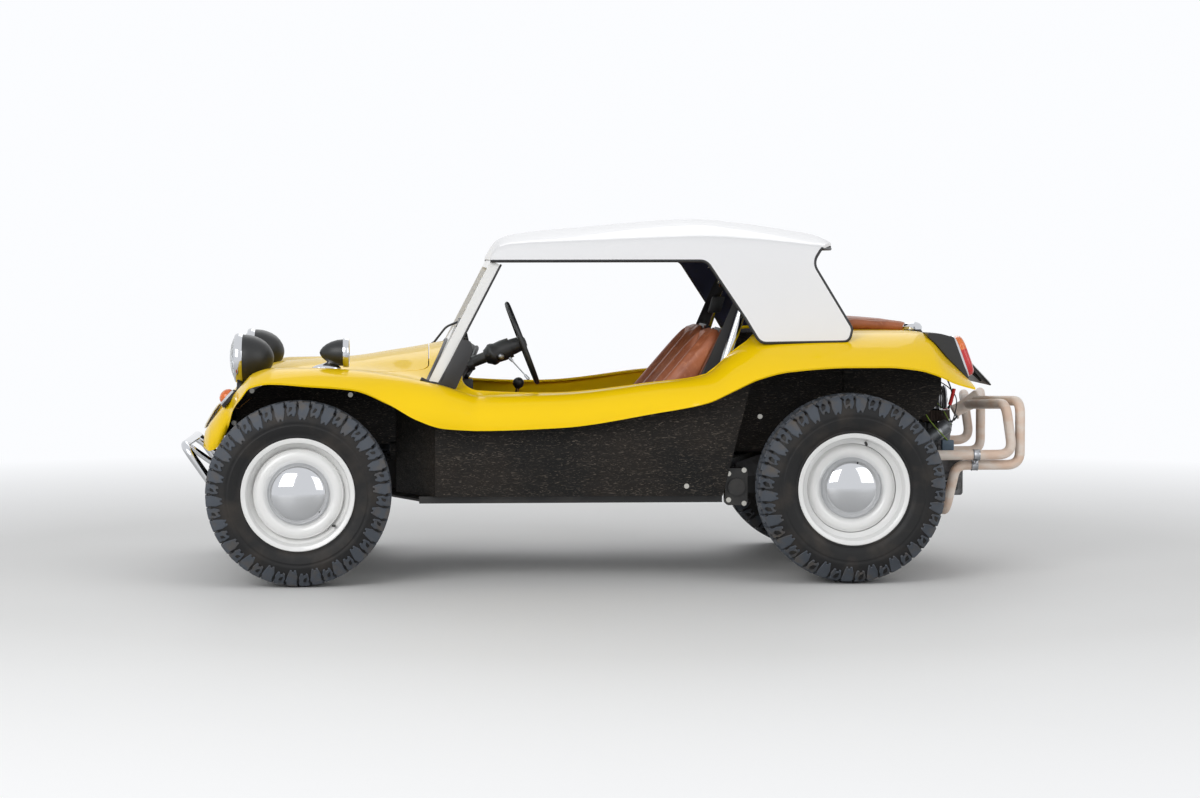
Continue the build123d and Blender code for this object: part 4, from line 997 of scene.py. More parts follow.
pipes.append(turned("collector", [(0, 20), (0, 33), (6, 33), (8, 26), (20, 25), (60, 27), (100, 33),
                                  (112, 34), (118, 30), (118, 20)], spot(2552, 0, 592), (0.871, 0, 0.491),
                    pipe_coat, 48))
set_on(joined("exhaust_header", pipes), stands_for=("exhaust",))
set_on(joined("exhaust_clamps", clamps))

# Headlamps: matt black bullet shells on short stems, each with a chrome rim, a fluted glass and a mirror
# bowl with its bulb. One nut under the wing holds the stem.
shell_black = polish(grain(finish("lamp_black", (0.010, 0.011, 0.012), 0.42), 0.05, 0.0004), 0.06, 0.36, 0.5)
lamp_glass = grain(finish("lamp_glass", (0.95, 0.97, 0.98), 0.03, clear=1.0, ior=1.25), 0.012, 0.002, 1.0,
                   (1, 1.6, 0.15))
# Turned parts of a headlamp: name, outline, finish, steps, kept angle, slot
LAMP_PARTS = [
    ("rim", [(-224, 84), (-222, 91), (-230, 94), (-244, 93.5), (-251, 90), (-253, 86), (-250, 82.5),
             (-240, 81)], chrome, 96, 40, "chrome_plate"),
    ("bowl", [(-246, 80), (-236, 76), (-222, 64), (-212, 44), (-206, 20), (-205, 12), (-201, 12), (-202, 20),
              (-208, 46), (-219, 67), (-233, 79), (-246, 82)], chrome, 64, 40, "chrome_plate"),
    ("bulb", [(-202, 0), (-202, 14), (-208, 14), (-210, 9), (-226, 9), (-236, 7), (-240, 0)], clamp_steel, 24,
     30, None),
    ("lens", [(-250, 83), (-258, 72), (-265, 52), (-270, 28), (-272, 0), (-268, 0), (-266, 28), (-261, 52),
              (-254, 70), (-247, 81)], lamp_glass, 96, 60, "clear_glass"),
]
BULLET = [(-224, 88.5), (-214, 89), (-196, 87.5), (-176, 82.5), (-156, 74), (-138, 62), (-124, 47),
          (-113, 29), (-107.5, 12), (-106, 0), (-110, 0), (-117, 27), (-128, 44), (-142, 59), (-159, 71),
          (-178, 79.5), (-198, 84.5), (-224, 85.5)]
STEM = [(0, 0), (0, 27), (5, 28), (9, 25), (13, 17), (26, 14.5), (46, 14.5), (58, 19), (66, 19), (66, 0)]
for side, sign in SIDES:
    middle, foot = spot(0, sign * 375, 824), spot(-232, sign * 375, skin_height(-232, sign * 375) - 4)
    shell = joined(f"headlamp_shell_{side}", [turned("bullet", BULLET, middle, AFT, shell_black, 96, 40),
                                              turned("stem", STEM, foot, UP, satin_black, 40)])
    set_on(shell, stands_for=("headlights",))
    for label, outline, material, steps, angle, slot in LAMP_PARTS:
        set_on(turned(f"headlamp_{label}_{side}", outline, middle, AFT, material, steps, angle))


# Wing mirror: a black bullet shell with a chrome ring round its glass, on a chrome foot like a drop,
# screwed to the crown of the left wing. Rows of the foot: station, height, half length, half width.
MIRROR_FOOT = [(98, 785, 54, 27), (98, 796, 53, 26), (101, 803, 42, 20), (106, 808, 27, 14),
               (112, 814, 15, 11),
               (118, 826, 11, 10)]
foot_rows = [[spot(s + long * math.cos(a), wide * math.sin(a) - 550, z)
              for a in np.linspace(0, 2 * math.pi, 41)[:-1]] for s, z, long, wide in MIRROR_FOOT]
mirror_middle = spot(0, -550, 850)
mirror_shell = [(72, 0), (75, 9), (84, 21), (98, 32), (116, 41), (138, 47.5), (161, 50), (161, 46), (150, 0)]
set_on(turned("mirror_shell", mirror_shell, mirror_middle, AFT, shell_black, 72, 40),
       stands_for=("mirror_left",))
mirror_bright = [turned("ring", [(158, 48), (160, 53), (166, 55), (178, 54.5), (182, 51), (180, 47),
                                 (172, 45)], mirror_middle, AFT, chrome, 72, 40),
                 turned("glass", [(170, 0), (170, 46), (175, 46), (175.5, 0)], mirror_middle, AFT, chrome,
                        48),
                 lofted("foot", foot_rows, chrome, 40)]
set_on(joined("mirror_brightwork", mirror_bright))

# Front indicators: an amber dome on a rubber seat with a chrome ring, low on the front of each wing. Its
# wire runs through the wing behind it.
amber = polish(finish("amber_lens", (0.95, 0.20, 0.005), 0.12, coat=0.6, clear=0.25, milky=0.2,
                      milk_depth=0.01), 0.02, 0.08, 0.2)
grain(amber, 0.006, 0.001, 0.0, (1, 1, 0.2))
wire_tan = grain(finish("wire_tan", (0.45, 0.22, 0.06), 0.5), 0.01, 0.0002)
for side, sign in SIDES:
    seat_middle, way = spot(-266, sign * 500, 678), (-0.75, 0, 0.66)
    bright = [turned("seat", [(-8, 0), (-8, 40), (2, 40), (5, 37), (5, 0)], seat_middle, way, black_rubber,
                     48),
              turned("ring", [(4, 30), (4, 37.5), (9, 37), (13, 34), (14, 30)], seat_middle, way, chrome, 48)]
    set_on(joined(f"indicator_seat_{side}", bright), stands_for=("front_indicators",))
    dome = [(8, 0), (8, 31), (15, 30.5), (23, 27.5), (30, 21), (35, 11), (36.5, 0)]
    set_on(turned(f"indicator_lens_{side}", dome, seat_middle, way, amber, 48))
    set_on(tube(f"indicator_wire_{side}", [spot(s, sign * y, z)
                                           for s, y, z in ((-252, 488, 655), (-240, 470, 632),
                                                           (-222, 440, 650), (-202, 410, 668),
                                                           (-192, 386, 672))], 0.0022, wire_tan, smooth=True))

# Tail lamps: black wedge housings that bring the sloping deck upright, each with a chrome plate and a
# bulging lens, amber above and red below.
red = polish(finish("red_lens", (0.70, 0.008, 0.010), 0.12, coat=0.6, clear=0.25), 0.02, 0.08, 0.2)
grain(red, 0.006, 0.001, 0.0, (1, 1, 0.2))
LAMP_LEAN = math.radians(20.2)
lens_place = leaning(2445, 904, -LAMP_LEAN)
LENS_OUTLINE = rounded(oblong(-53, 53, -80, 80, 50), 9)


def lens_form(name, sign, rings, materials, angle=35.0):
    """Closed form on the lamp's face through rings: shares of the width and height, millimetres out."""
    rows = [[lens_place(sign * 520 + p.x * a, p.y * b - 82, out) for p in LENS_OUTLINE]
            for a, b, out in rings]
    return lofted(name, rows, materials, angle)


for side, sign in SIDES:
    rows = []
    for y in np.linspace(460, 580, 9):
        line = [(2344, 921), (2370, 920), (2397, 917), (2445, 904), (2470, 837), (2503, 750)]
        line += [(s, min(skin_height(s, y) - 5, 915)) for s in (2494, 2470, 2446, 2422, 2398, 2374, 2348)]
        rows.append([spot(s, sign * y, z) for s, z in line])
    set_on(bevelled(lofted(f"tail_housing_{side}", rows, satin_black, 30), 0.003), stands_for=("tail_lamps",))
    ring = lens_form(f"tail_plate_{side}", sign, [(1.11, 1.07, 0), (1.11, 1.07, 5), (1.07, 1.04, 7),
                                                  (1.0, 1.0, 7)], chrome)
    set_on(ring)
    bulge = [(0.99, 0.99, 5), (0.99, 0.99, 18), (0.965, 0.975, 24), (0.90, 0.93, 29.5), (0.78, 0.85, 33.5),
             (0.55, 0.66, 36.5), (0.28, 0.36, 38), (0.05, 0.06, 38.5)]
    lens = lens_form(f"tail_lens_{side}", sign, bulge, [red, amber], 50)
    split = lens_place(sign * 520, -56, 0)
    across_lens = Vector((-math.sin(LAMP_LEAN), 0, math.cos(LAMP_LEAN)))
    halves = bmesh.new()
    halves.from_mesh(lens.data)
    bmesh.ops.bisect_plane(halves, geom=halves.verts[:] + halves.edges[:] + halves.faces[:], plane_co=split,
                           plane_no=across_lens)
    for face in halves.faces:
        face.material_index = 1 if (face.calc_center_median() - split).dot(across_lens) > 0 else 0
    halves.to_mesh(lens.data)
    halves.free()
    set_on(lens)


# Blank number plates: a dark holder and a plain white plate. The front one follows the nose under the
# lamps, the rear one leans on two steel straps behind the deck.
def slab(name, corners, thick, place, material, bevel=0.0015, steps=4):
    """Rounded flat piece in a plane of its own: corners as (x, y, radius), thickness outwards."""
    return settled(bevelled(block(name, rounded(corners, steps), place, 0.0, thick, material), bevel))


plate_white = polish(grain(finish("plate_white", (0.70, 0.71, 0.70), 0.35), 0.02, 0.0002), 0.05, 0.25, 0.45)
rear_plate_place = leaning(2648, 707, math.atan2(2560 - 2648, 800 - 707))
holder_corners = oblong(-262, 262, 0, 127, 10)
blank_corners = oblong(-256, 256, 9, 119, 8)
plate_parts = [slab("holder", holder_corners, 5, rear_plate_place, satin_black),
               slab("blank", blank_corners, 3, lambda y, up, out: rear_plate_place(y, up, out + 5),
                    plate_white)]
for y in (-150, 150):
    strap_line = [(2478, y, 768), (2530, y, 770), (2590, y, 760), (2632, y, 722)]
    plate_parts.append(tube("strap", bends(strap_line, 30), 0.006, chassis_black, sides=3))
set_on(joined("rear_plate", plate_parts))
nose_line = [(-386, 548), (-380, 566), (-366, 590), (-350, 617), (-333, 640)]
nose_rows = [[spot(s, y, z) for s, z in nose_line] + [spot(s + 4, y, z - 1.5) for s, z in nose_line[::-1]]
             for y in np.linspace(-170, 170, 18)]
set_on(lofted("front_plate", nose_rows, plate_white, 60))

# Filler cap: a chrome cap with a stepped grip on a rubber collar, on the left of the rear deck ahead of
# the tail lamp.
cap_foot = skin_height(2325, -350)
cap_outline = [(0, 0), (0, 33), (5, 37), (16, 37.5), (20, 34), (26, 31), (31, 22), (34, 8), (34.5, 0)]
set_on(joined("filler", [turned("collar", [(-6, 0), (-6, 39), (3, 39), (6, 35), (6, 0)],
                                spot(2325, -350, cap_foot), UP, black_rubber, 48),
                         turned("cap", cap_outline, spot(2325, -350, cap_foot + 5), UP, chrome, 48, 25)]),
       stands_for=("filler_cap",))

# Dashboard: a deep arched moulding in grained black vinyl under the cowl, with round dials in chrome rings,
# rocker switches, a smoked hood over the speedometer and a fuse box under the column.
dash_vinyl = grain(finish("dash_vinyl", (0.018, 0.018, 0.020), 0.5), 0.0025, 0.0006, 3.0)
patches(dash_vinyl, 0.15, (0.030, 0.030, 0.032), 0.45, 0.8)
dial_black = polish(finish("dial_black", (0.008, 0.008, 0.009), 0.5), 0.05, 0.4, 0.6)
needle_orange = grain(finish("needle_orange", (0.80, 0.16, 0.01), 0.4), 0.002, 0.0001)
DASH_TILT = math.radians(33.6)
DASH_WAY = Vector((math.cos(DASH_TILT), 0, -math.sin(DASH_TILT)))
dash_place = leaning(528, 704, DASH_TILT)
dash_arch = [(y, math.sqrt(815.6 ** 2 - y * y) - 615.6, 0) for y in np.linspace(-528, 528, 45)]
dash_parts = [slab("panel", [(-528, -16, 14)] + dash_arch + [(528, -16, 14)], 30, dash_place, dash_vinyl,
                   0.006, 1)]
lip_line = [dash_place(y, up - 4, 32) for y, up, _ in dash_arch]
dash_parts.append(tube("lip", lip_line, 0.009, dash_vinyl, sides=4))
dash_parts.append(slab("fuse_box", oblong(-390, -255, 0, 92, 8), 46,
                       lambda y, up, out: spot(552 + up, y, 740 - out), dash_vinyl, 0.004))
for _, sign in SIDES:
    dash_parts.append(slab("side_cover", [(508, 733, 2), (537, 714, 4), (578, 716, 8), (612, 790, 8),
                                          (641, 856, 8), (633, 892, 8), (601, 901, 3)], 3,
                           lambda x, z, out, sign=sign: spot(x, sign * (596 + out), z), dash_vinyl, 0.001))
    dash_parts.append(slab("arch_flange", oblong(330, 400, 440, 508, 3), 4,
                           lambda x, z, out, sign=sign: spot(x, sign * (381 + out), z), undercoat, 0.001))
set_on(joined("dash_panel", dash_parts), stands_for=("dashboard",))


def facing(middle, way):
    """Turn and move from a piece's own place, whose Y looks along a direction, to its real one."""
    way = Vector(way).normalized()
    up = (Vector(UP) - way * way.z).normalized()
    return Matrix.Translation(middle) @ Matrix((way.cross(up), way, up)).transposed().to_4x4()


tick_ring = ring_tree("tick_ring", star_white)
dials = []
for y, up, radius, marks in ((-190, 96, 50, 36), (-82, 110, 28, 20), (-12, 118, 28, 20), (58, 114, 28, 20)):
    middle = dash_place(y, up, 30)
    dials.append(turned("bezel", [(-2, radius - 6), (-2, radius), (5, radius), (8, radius - 3),
                                  (6, radius - 6)], middle, DASH_WAY, chrome, 64))
    dials.append(turned("face", [(0, 0), (1, radius - 5), (-1, radius - 5), (-2, 0)], middle, DASH_WAY,
                        dial_black, 48))
    low, high, half = radius - (14 if radius > 40 else 11), radius - 8, 0.9
    corners = [Vector((-half, 0.8)), Vector((half, 0.8)), Vector((half, 1.8)), Vector((-half, 1.8))]
    tick = block("tick", corners, lambda x, d, z: Vector((x, d, z)) / 1000, low, high, star_white)
    repeated(tick, tick_ring, Copies=marks)
    tick.data.transform(facing(middle, DASH_WAY))
    dials.append(tick)
    lean = math.radians(-125)
    axis_x, axis_z = facing(middle, DASH_WAY).col[0].xyz, facing(middle, DASH_WAY).col[2].xyz
    tip = middle + (axis_x * math.sin(lean)
                    + axis_z * math.cos(lean)) * (radius - 12) / 1000 + DASH_WAY * 0.003
    dials.append(tube("needle", [middle + DASH_WAY * 0.003, tip], 0.0009, needle_orange, sides=2))
    dials.append(turned("boss", [(1, 0), (1, 5), (5, 4.5), (6, 0)], middle, DASH_WAY, satin_black, 24))
for k in range(5):
    rocker = slab("rocker", oblong(-11, 11, -17, 17, 3), 9,
                  lambda x, z, out, k=k: dash_place(130 + 42 * k + x, 96 + z - 4 * k, 30 + out), satin_black,
                  0.002)
    dials.append(rocker)
set_on(joined("dash_dials", dials))
hood_rows = []
for reach, radius in ((28, 54), (58, 56), (62, 55), (62, 53.5), (58, 53.5), (28, 51.5)):
    for a in np.radians(np.linspace(200, -20, 28)):
        hood_rows.append(dash_place(-190 + radius * math.cos(a), 96 + radius * math.sin(a), reach))
hood_faces = rows_to_faces(6, 28, closed_row=False, closed_column=True)
hood_faces += [tuple(28 * k for k in range(6)), tuple(28 * k + 27 for k in range(5, -1, -1))]
smoked = polish(finish("smoked_plastic", (0.10, 0.10, 0.11), 0.1, clear=0.7), 0.05, 0.06, 0.16)
set_on(made("dial_hood", hood_rows, hood_faces, smoked, 40))

# Steering column and wheel: a black column with a round switch housing and its stalk, and a wheel with a
# thin leather rim on three drilled alloy spokes.
COLUMN_RAKE = math.radians(21)
COLUMN_WAY = Vector((-math.cos(COLUMN_RAKE), 0, -math.sin(COLUMN_RAKE)))
hub_middle = spot(831, -330, 878)
switch_parts = [turned("housing", [(66, 0), (66, 15), (55, 15), (55, 35), (46, 35), (46, 38), (58, 39),
                                   (80, 40), (104, 38), (116, 42), (126, 42), (136, 34), (150, 26), (150, 0)],
                       hub_middle, COLUMN_WAY, satin_black, 48, 40),
                turned("collar", [(200, 21), (200, 29), (206, 31), (236, 31), (242, 27), (242, 21)],
                       hub_middle, COLUMN_WAY, satin_black, 40)]
stalk_foot, stalk_end = spot(783, -352, 822), spot(855, -380, 742)
switch_parts.append(turned("stalk", [(0, 0), (0, 6), (16, 5), (20, 2.6), (88, 2.2), (90, 5), (110, 5.6),
                                     (113, 3), (113, 0)], stalk_foot, stalk_end - stalk_foot, clamp_steel, 20,
                           40))
switch_parts.append(turned("lock", [(0, 0), (0, 13), (22, 12), (26, 9), (28, 0)], spot(745, -352, 832),
                           (0.3, -0.9, -0.25), clamp_steel, 24))
set_on(joined("column_switches", switch_parts))
leather_black = grain(finish("leather_black", (0.012, 0.012, 0.013), 0.45), 0.0018, 0.0003, 6.0)
wheel_place = Matrix.Translation(hub_middle) @ Matrix(
    (Vector((0, 1, 0)), -COLUMN_WAY.cross(Vector((0, 1, 0))), -COLUMN_WAY)).transposed().to_4x4()


def plate(name, outlines, thick, place, material):
    """Flat piece with holes, drawn in millimetres on a plane and put at its place."""
    curve = bpy.data.curves.new(name, "CURVE")
    curve.dimensions = "2D"
    curve.fill_mode = "BOTH"
    curve.extrude = thick / 2000
    for outline in outlines:
        path = curve.splines.new("POLY")
        path.points.add(len(outline) - 1)
        for point, (x, y) in zip(path.points, outline):
            point.co = (x / 1000, y / 1000, 0, 1)
        path.use_cyclic_u = True
    drawn = placed(name + "_drawing", curve)
    mesh = worked_out(drawn)
    bpy.data.objects.remove(drawn)
    piece = made(name, [v.co for v in mesh.vertices], [tuple(p.vertices) for p in mesh.polygons], material)
    piece.data.transform(place)
    return piece


def ring_line(x, radius):
    """Circle as places on a plane."""
    return [(x + radius * math.cos(math.pi * k / 10), radius * math.sin(math.pi * k / 10)) for k in range(20)]


spokes = []
for angle in (0, 180, 270):
    turn = Matrix.Rotation(math.radians(angle), 4, "Z")
    spokes.append(plate("spoke", [[(24, -19), (60, -15), (110, -12), (150, -14), (150, 14), (110, 12),
                                   (60, 15), (24, 19)], ring_line(58, 8.5), ring_line(82, 7.5),
                                  ring_line(103, 6.5), ring_line(122, 5.5)], 3.4, wheel_place @ turn,
                        clamp_steel))
wheel_axis = -COLUMN_WAY
spokes.append(turned("hub", [(-62, 0), (-62, 12), (-50, 12), (-50, 30), (-40, 31), (-12, 28), (-6, 37),
                             (3, 38), (7, 34), (7, 0)], hub_middle, wheel_axis, satin_black, 48, 30))
spokes.append(turned("horn_ring", [(6, 22), (6, 29), (9, 30), (12, 27), (12, 22)], hub_middle, wheel_axis,
                     chrome, 48))
spokes.append(turned("horn_button", [(7, 0), (7, 22), (12, 21.5), (16, 14), (17, 0)], hub_middle, wheel_axis,
                     satin_black, 48))
rim_loop = [(9.5 * math.cos(a), 157 + 11 * math.sin(a)) for a in np.linspace(0, 2 * math.pi, 17)[:-1]]
spokes.append(turned("rim", rim_loop, hub_middle, wheel_axis, leather_black, 128, 60))
set_on(joined("steering_wheel_dressed", spokes), "steering_wheel", ("steering_wheel",))

# Gear lever, hand brake and pedals: chrome lever with a black ball and a rubber boot, a steel hand brake
# with a moulded grip, and rubber pads on the hanging pedals.
lever_parts = [tube("rod", bends([(800, 0, 468), (800, 0, 560), (824, 0, 694)], 60), 0.0068, chrome),
               turned("boot", [(0, 0), (0, 38), (4, 38), (7, 30), (11, 34), (15, 26), (19, 29), (23, 21),
                               (27, 23), (31, 15), (40, 11), (46, 8), (46, 0)], spot(800, 0, 440), UP,
                      black_rubber, 40),
               turned("ball", [(-24, 0), (-24, 9), (-19, 12), (-14, 18), (-6, 21.5), (3, 22), (11, 19),
                               (18, 12), (21, 5), (21.5, 0)], spot(827, 0, 712), (0.18, 0, 0.98),
                      leather_black, 40),
               tube("brake_rod", bends([(940, 0, 452), (975, 0, 470), (1080, 0, 520)], 30), 0.009,
                    chassis_black),
               turned("grip", [(0, 0), (0, 11), (8, 14), (40, 13), (80, 14.5), (104, 13), (110, 9), (112, 4),
                               (120, 4), (121, 0)], spot(1074, 0, 517), (0.9, 0, 0.43), black_rubber, 32),
               slab("mount", oblong(922, 1000, -24, 24, 6), 12, lambda x, y, out: spot(x, y, 440 + out),
                    chassis_black, 0.002)]
set_on(joined("levers", lever_parts), stands_for=("gear_lever",))
pads = []
for y in (-430, -330, -240):
    pads.append(slab("pad", oblong(-26, 26, 0, 58, 6), 7,
                     lambda x, up, out, y=y: spot(480 + up * 0.22 + out, y + x, 466 + up - out * 0.22),
                     black_rubber, 0.002))
    for k in range(4):
        pads.append(tube("ridge", [spot(490 + (10 + 13 * k) * 0.22, y + x, 464 + 10 + 13 * k)
                                   for x in (-20, 20)], 0.0016, black_rubber, sides=2))
set_on(joined("pedal_pads", pads))

# Seats: leather over foam on black moulded shells, sewn in flutes between the side bolsters. Each pad is
# blown up as cloth from a slightly smaller form, and its seams are sewn in afterwards.
leather = finish("cognac_leather", (0.42, 0.135, 0.058), 0.42)
patches(leather, 0.11, (0.27, 0.075, 0.030), 0.42, 0.72)
patches(leather, 0.02, (0.50, 0.19, 0.09), 0.55, 0.8)
polish(grain(leather, 0.0035, 0.0006, 6.0), 0.06, 0.34, 0.55)
piping = grain(finish("leather_piping", (0.16, 0.045, 0.02), 0.45), 0.003, 0.0002)


def pad_form(name, slices, place, material):
    """Closed form through slices that have as many points as each other."""
    return lofted(name, [[place(at, p.x, p.y) for p in loop] for at, loop in slices], material)


def places_of(items, kind="co"):
    """Places or directions of a mesh's points as an array."""
    values = np.empty(len(items) * 3)
    items.foreach_get(kind, values)
    return values.reshape(-1, 3)


CLOTH_FRAMES = 20


def stuffed(piece, cap, voxel):
    """Blow a pad up as cloth, as far as a cap in metres, and smooth it once."""
    grid = piece.modifiers.new("grid", "REMESH")
    grid.mode = "VOXEL"
    grid.voxel_size = voxel
    settled(piece)
    start = places_of(piece.data.vertices)
    cloth = piece.modifiers.new("cloth", "CLOTH")
    cloth.settings.use_pressure = True
    cloth.settings.uniform_pressure_force = 4
    cloth.settings.effector_weights.gravity = 0
    cloth.settings.quality = 3
    cloth.point_cache.frame_end = CLOTH_FRAMES
    for step in range(1, CLOTH_FRAMES + 1):
        scene.frame_set(step)
    blown = worked_out(piece)
    move = places_of(blown.vertices) - start
    length = np.maximum(np.linalg.norm(move, axis=1), 1e-9)
    start = start + move * np.minimum(1, cap / length)[:, None]
    piece.modifiers.clear()
    scene.frame_set(1)
    bpy.data.meshes.remove(blown)
    piece.data.vertices.foreach_set("co", start.ravel())
    soften = piece.modifiers.new("soften", "SUBSURF")
    soften.levels = soften.render_levels = 1
    return settled(piece, 60)


def sewn(piece, seams, facing_way, depth, width):
    """Press seams into the side of a pad that faces one way; seams gives each place's distance to them."""
    places, way = places_of(piece.data.vertices), np.array(Vector(facing_way).normalized())
    share = np.clip((places_of(piece.data.vertex_normals, "vector") @ way) * 1.6, 0, 1)
    places -= way * (depth * share * np.exp(-(seams(places) / width) ** 2))[:, None]
    piece.data.vertices.foreach_set("co", places.ravel())
    piece.data.update()
    return piece


BACK_UP, BACK_OUT = Vector((0.4455, 0, 0.8953)), Vector((-0.8953, 0, 0.4455))
SEAT_FOOT = spot(1300, 0, 306)
# Metres: swelling of a pad, depth and width of a seam, spacing of the flutes, half width of the fluted panel
PAD_SWELL, FLUTE_DEPTH, FLUTE_WIDTH, FLUTE_STEP, FLUTED_HALF = 0.009, 0.0055, 0.0045, 0.033, 0.104


def back_width(up):
    """Half width of the seat's back at a distance up it, round at the top."""
    over = min(max((up - 560) / 130, 0), 1)
    return 190 - 74 * (1 - math.sqrt(1 - over * over * 0.96))


def seat_back_place(up, y, out):
    """Place on the seat's back: distance up, y, distance out to the front."""
    return SEAT_FOOT + (BACK_UP * up + BACK_OUT * out) / 1000 + Vector((0, y / 1000, 0))


back_slices = []
for up in (172, 190, 260, 330, 400, 470, 530, 575, 610, 640, 662, 678, 687):
    half, front = back_width(up), min(186, 186 - 0.2525 * (up - 190))
    hollow = 26 if 180 < up < 600 else max(0, 26 - (up - 600) * 0.4) if up >= 600 else 10
    end = 12 if up == 172 else 14 if up == 687 else 5 if up == 678 else 0
    back_slices.append((up, rounded([(-half + end, 28 + end, 14), (half - end, 28 + end, 14),
                                     (half - end, front - end, 26), (half - 62, front + 2 - end, 18),
                                     (half - 84, front - hollow - end, 20),
                                     (-half + 84, front - hollow - end, 20),
                                     (-half + 62, front + 2 - end, 18), (-half + end, front - end, 26)], 4)))
cushion_slices = []
for at, top, low in ((842, 508, 488), (852, 534, 504), (880, 552, 508), (960, 553, 506), (1060, 552, 498),
                     (1150, 552, 490), (1196, 548, 486), (1206, 534, 478)):
    cushion_slices.append((at, rounded([(-190, 408, 14), (190, 408, 14), (190, top, 24), (132, top + 2, 16),
                                        (108, low, 18), (-108, low, 18), (-132, top + 2, 16),
                                        (-190, top, 24)], 4)))
shell_slices = []
for up in (4, 60, 200, 400, 575, 610, 640, 662, 678, 690):
    half = back_width(up) + 5
    shell_slices.append((up, rounded([(-half, 2, 12), (half, 2, 12), (half, 27, 6), (-half, 27, 6)], 4)))


def flutes(places):
    """Distance to the seams of a front seat: narrow flutes between the bolsters."""
    away = np.abs(((places[:, 1] + FLUTE_STEP / 2) % FLUTE_STEP) - FLUTE_STEP / 2)
    edge = np.abs(np.abs(places[:, 1]) - FLUTED_HALF)
    return np.where(np.abs(places[:, 1]) < FLUTED_HALF - 0.006, away, edge)


seat_back = stuffed(pad_form("back_pad", back_slices, seat_back_place, leather), PAD_SWELL, 0.008)
sewn(seat_back, flutes, BACK_OUT, FLUTE_DEPTH, FLUTE_WIDTH)
seat_cushion = stuffed(pad_form("cushion", cushion_slices, spot, leather), PAD_SWELL, 0.009)
sewn(seat_cushion, flutes, UP, FLUTE_DEPTH, FLUTE_WIDTH)
shell_black_plastic = grain(finish("seat_shell", (0.014, 0.014, 0.015), 0.5), 0.002, 0.0004)
seat_shell = pad_form("back_shell", shell_slices, seat_back_place, shell_black_plastic)
base_slices = [(at, rounded([(-188, 308, 10), (188, 308, 10), (188 + flare, 408, 8), (-188 - flare, 408, 8)],
                            4)) for at, flare in ((845, 0), (870, 4), (1200, 4), (1300, 4))]
seat_base = pad_form("base_shell", base_slices, spot, shell_black_plastic)
bolster_lines = []
for _, sign in SIDES:
    bolster_lines.append(tube("piping", [seat_back_place(up, sign * (back_width(up) + 1), 29)
                                         for up in (185, 260, 400, 560, 610, 645, 668, 682)], 0.0035, piping,
                              smooth=True, sides=3))
seat_frame = joined("seat_frame", [seat_shell, seat_base] + bolster_lines)
for side, sign in SIDES:
    across_cab = Matrix.Translation((0, sign * 0.315, 0))
    for source, label, soft in ((seat_back, "back", True), (seat_cushion, "cushion", True),
                                (seat_frame, "shell", False)):
        mesh = source.data.copy()
        mesh.transform(across_cab)
        piece = placed(f"seat_{label}_{side}", mesh)
        set_on(piece, stands_for=(f"seat_{side}",))
for source in (seat_back, seat_cushion, seat_frame):
    bpy.data.objects.remove(source)

# Back seat and deck pad: a fluted bench and back behind the front seats, and a buttoned leather pad on the
# deck under the back window.
def wide_pad(name, loop, middle, ends, cap, voxel):
    """Pad across the cab: a side outline, smaller towards both ends by (half width, share)."""
    middle = Vector(middle)
    slices = [(y, [middle + (p - middle) * share for p in loop])
              for y, share in [(-y, share) for y, share in ends]
              + [(y, share) for y, share in ends[::-1] if y]]
    return stuffed(pad_form(name, slices, lambda y, s, z: spot(s, y, z), leather), cap, voxel)


bench_loop = rounded([(1690, 488, 20), (1872, 488, 20), (1884, 596, 26), (1694, 604, 34)], 5)
bench = wide_pad("rear_bench", bench_loop, (1787, 545), [(402, 0.86), (394, 0.96), (300, 1), (100, 1)],
                 PAD_SWELL, 0.012)
rest_loop = rounded([(1890, 604, 24), (1946, 520, 20), (2030, 872, 22), (1980, 896, 26)], 5)
rear_rest = wide_pad("rear_rest", rest_loop, (1962, 722), [(402, 0.88), (394, 0.96), (300, 1), (100, 1)],
                     PAD_SWELL, 0.012)


def wide_flutes(places):
    """Distance to the seams of the back seat."""
    return np.abs(((places[:, 1] + 0.045) % 0.09) - 0.045)


sewn(bench, wide_flutes, UP, 0.006, 0.007)
sewn(rear_rest, wide_flutes, (-0.9, 0, 0.3), 0.006, 0.007)
deck_loop = rounded([(2070, 930, 10), (2200, 926, 3), (2330, 920, 14), (2338, 938, 14), (2318, 950, 12),
                     (2200, 960, 30), (2090, 967, 22), (2066, 952, 14)], 4)
deck_ends = [(286, 0.80), (280, 0.93), (262, 0.99), (150, 1), (0, 1)]
deck_pad = wide_pad("deck_pad", deck_loop, (2200, 944), deck_ends, 0.006, 0.008)
# Deck buttons: station, y
BUTTONS = [(s, y) for s in (2135, 2265) for y in (-190, -63, 63, 190)]


def tufts(places):
    """Distance to the buttons of the deck pad."""
    away = [np.hypot(places[:, 0] * 1000 - FRONT_AXLE - s, places[:, 1] * 1000 - y) for s, y in BUTTONS]
    return np.min(away, axis=0) / 1000


sewn(deck_pad, tufts, UP, 0.009, 0.022)
sewn(deck_pad, lambda places: np.abs(((places[:, 1] + 0.0635) % 0.127) - 0.0635), UP, 0.004, 0.006)
for piece in (bench, rear_rest, deck_pad):
    set_on(piece, stands_for=("rear_seat",))
buttons = [turned("button", [(-2, 0), (-2, 8), (1, 9), (4, 6.5), (5, 0)],
                  spot(s, y, 953 if s < 2200 else 944), UP, piping, 20) for s, y in BUTTONS]
set_on(joined("deck_buttons", buttons))


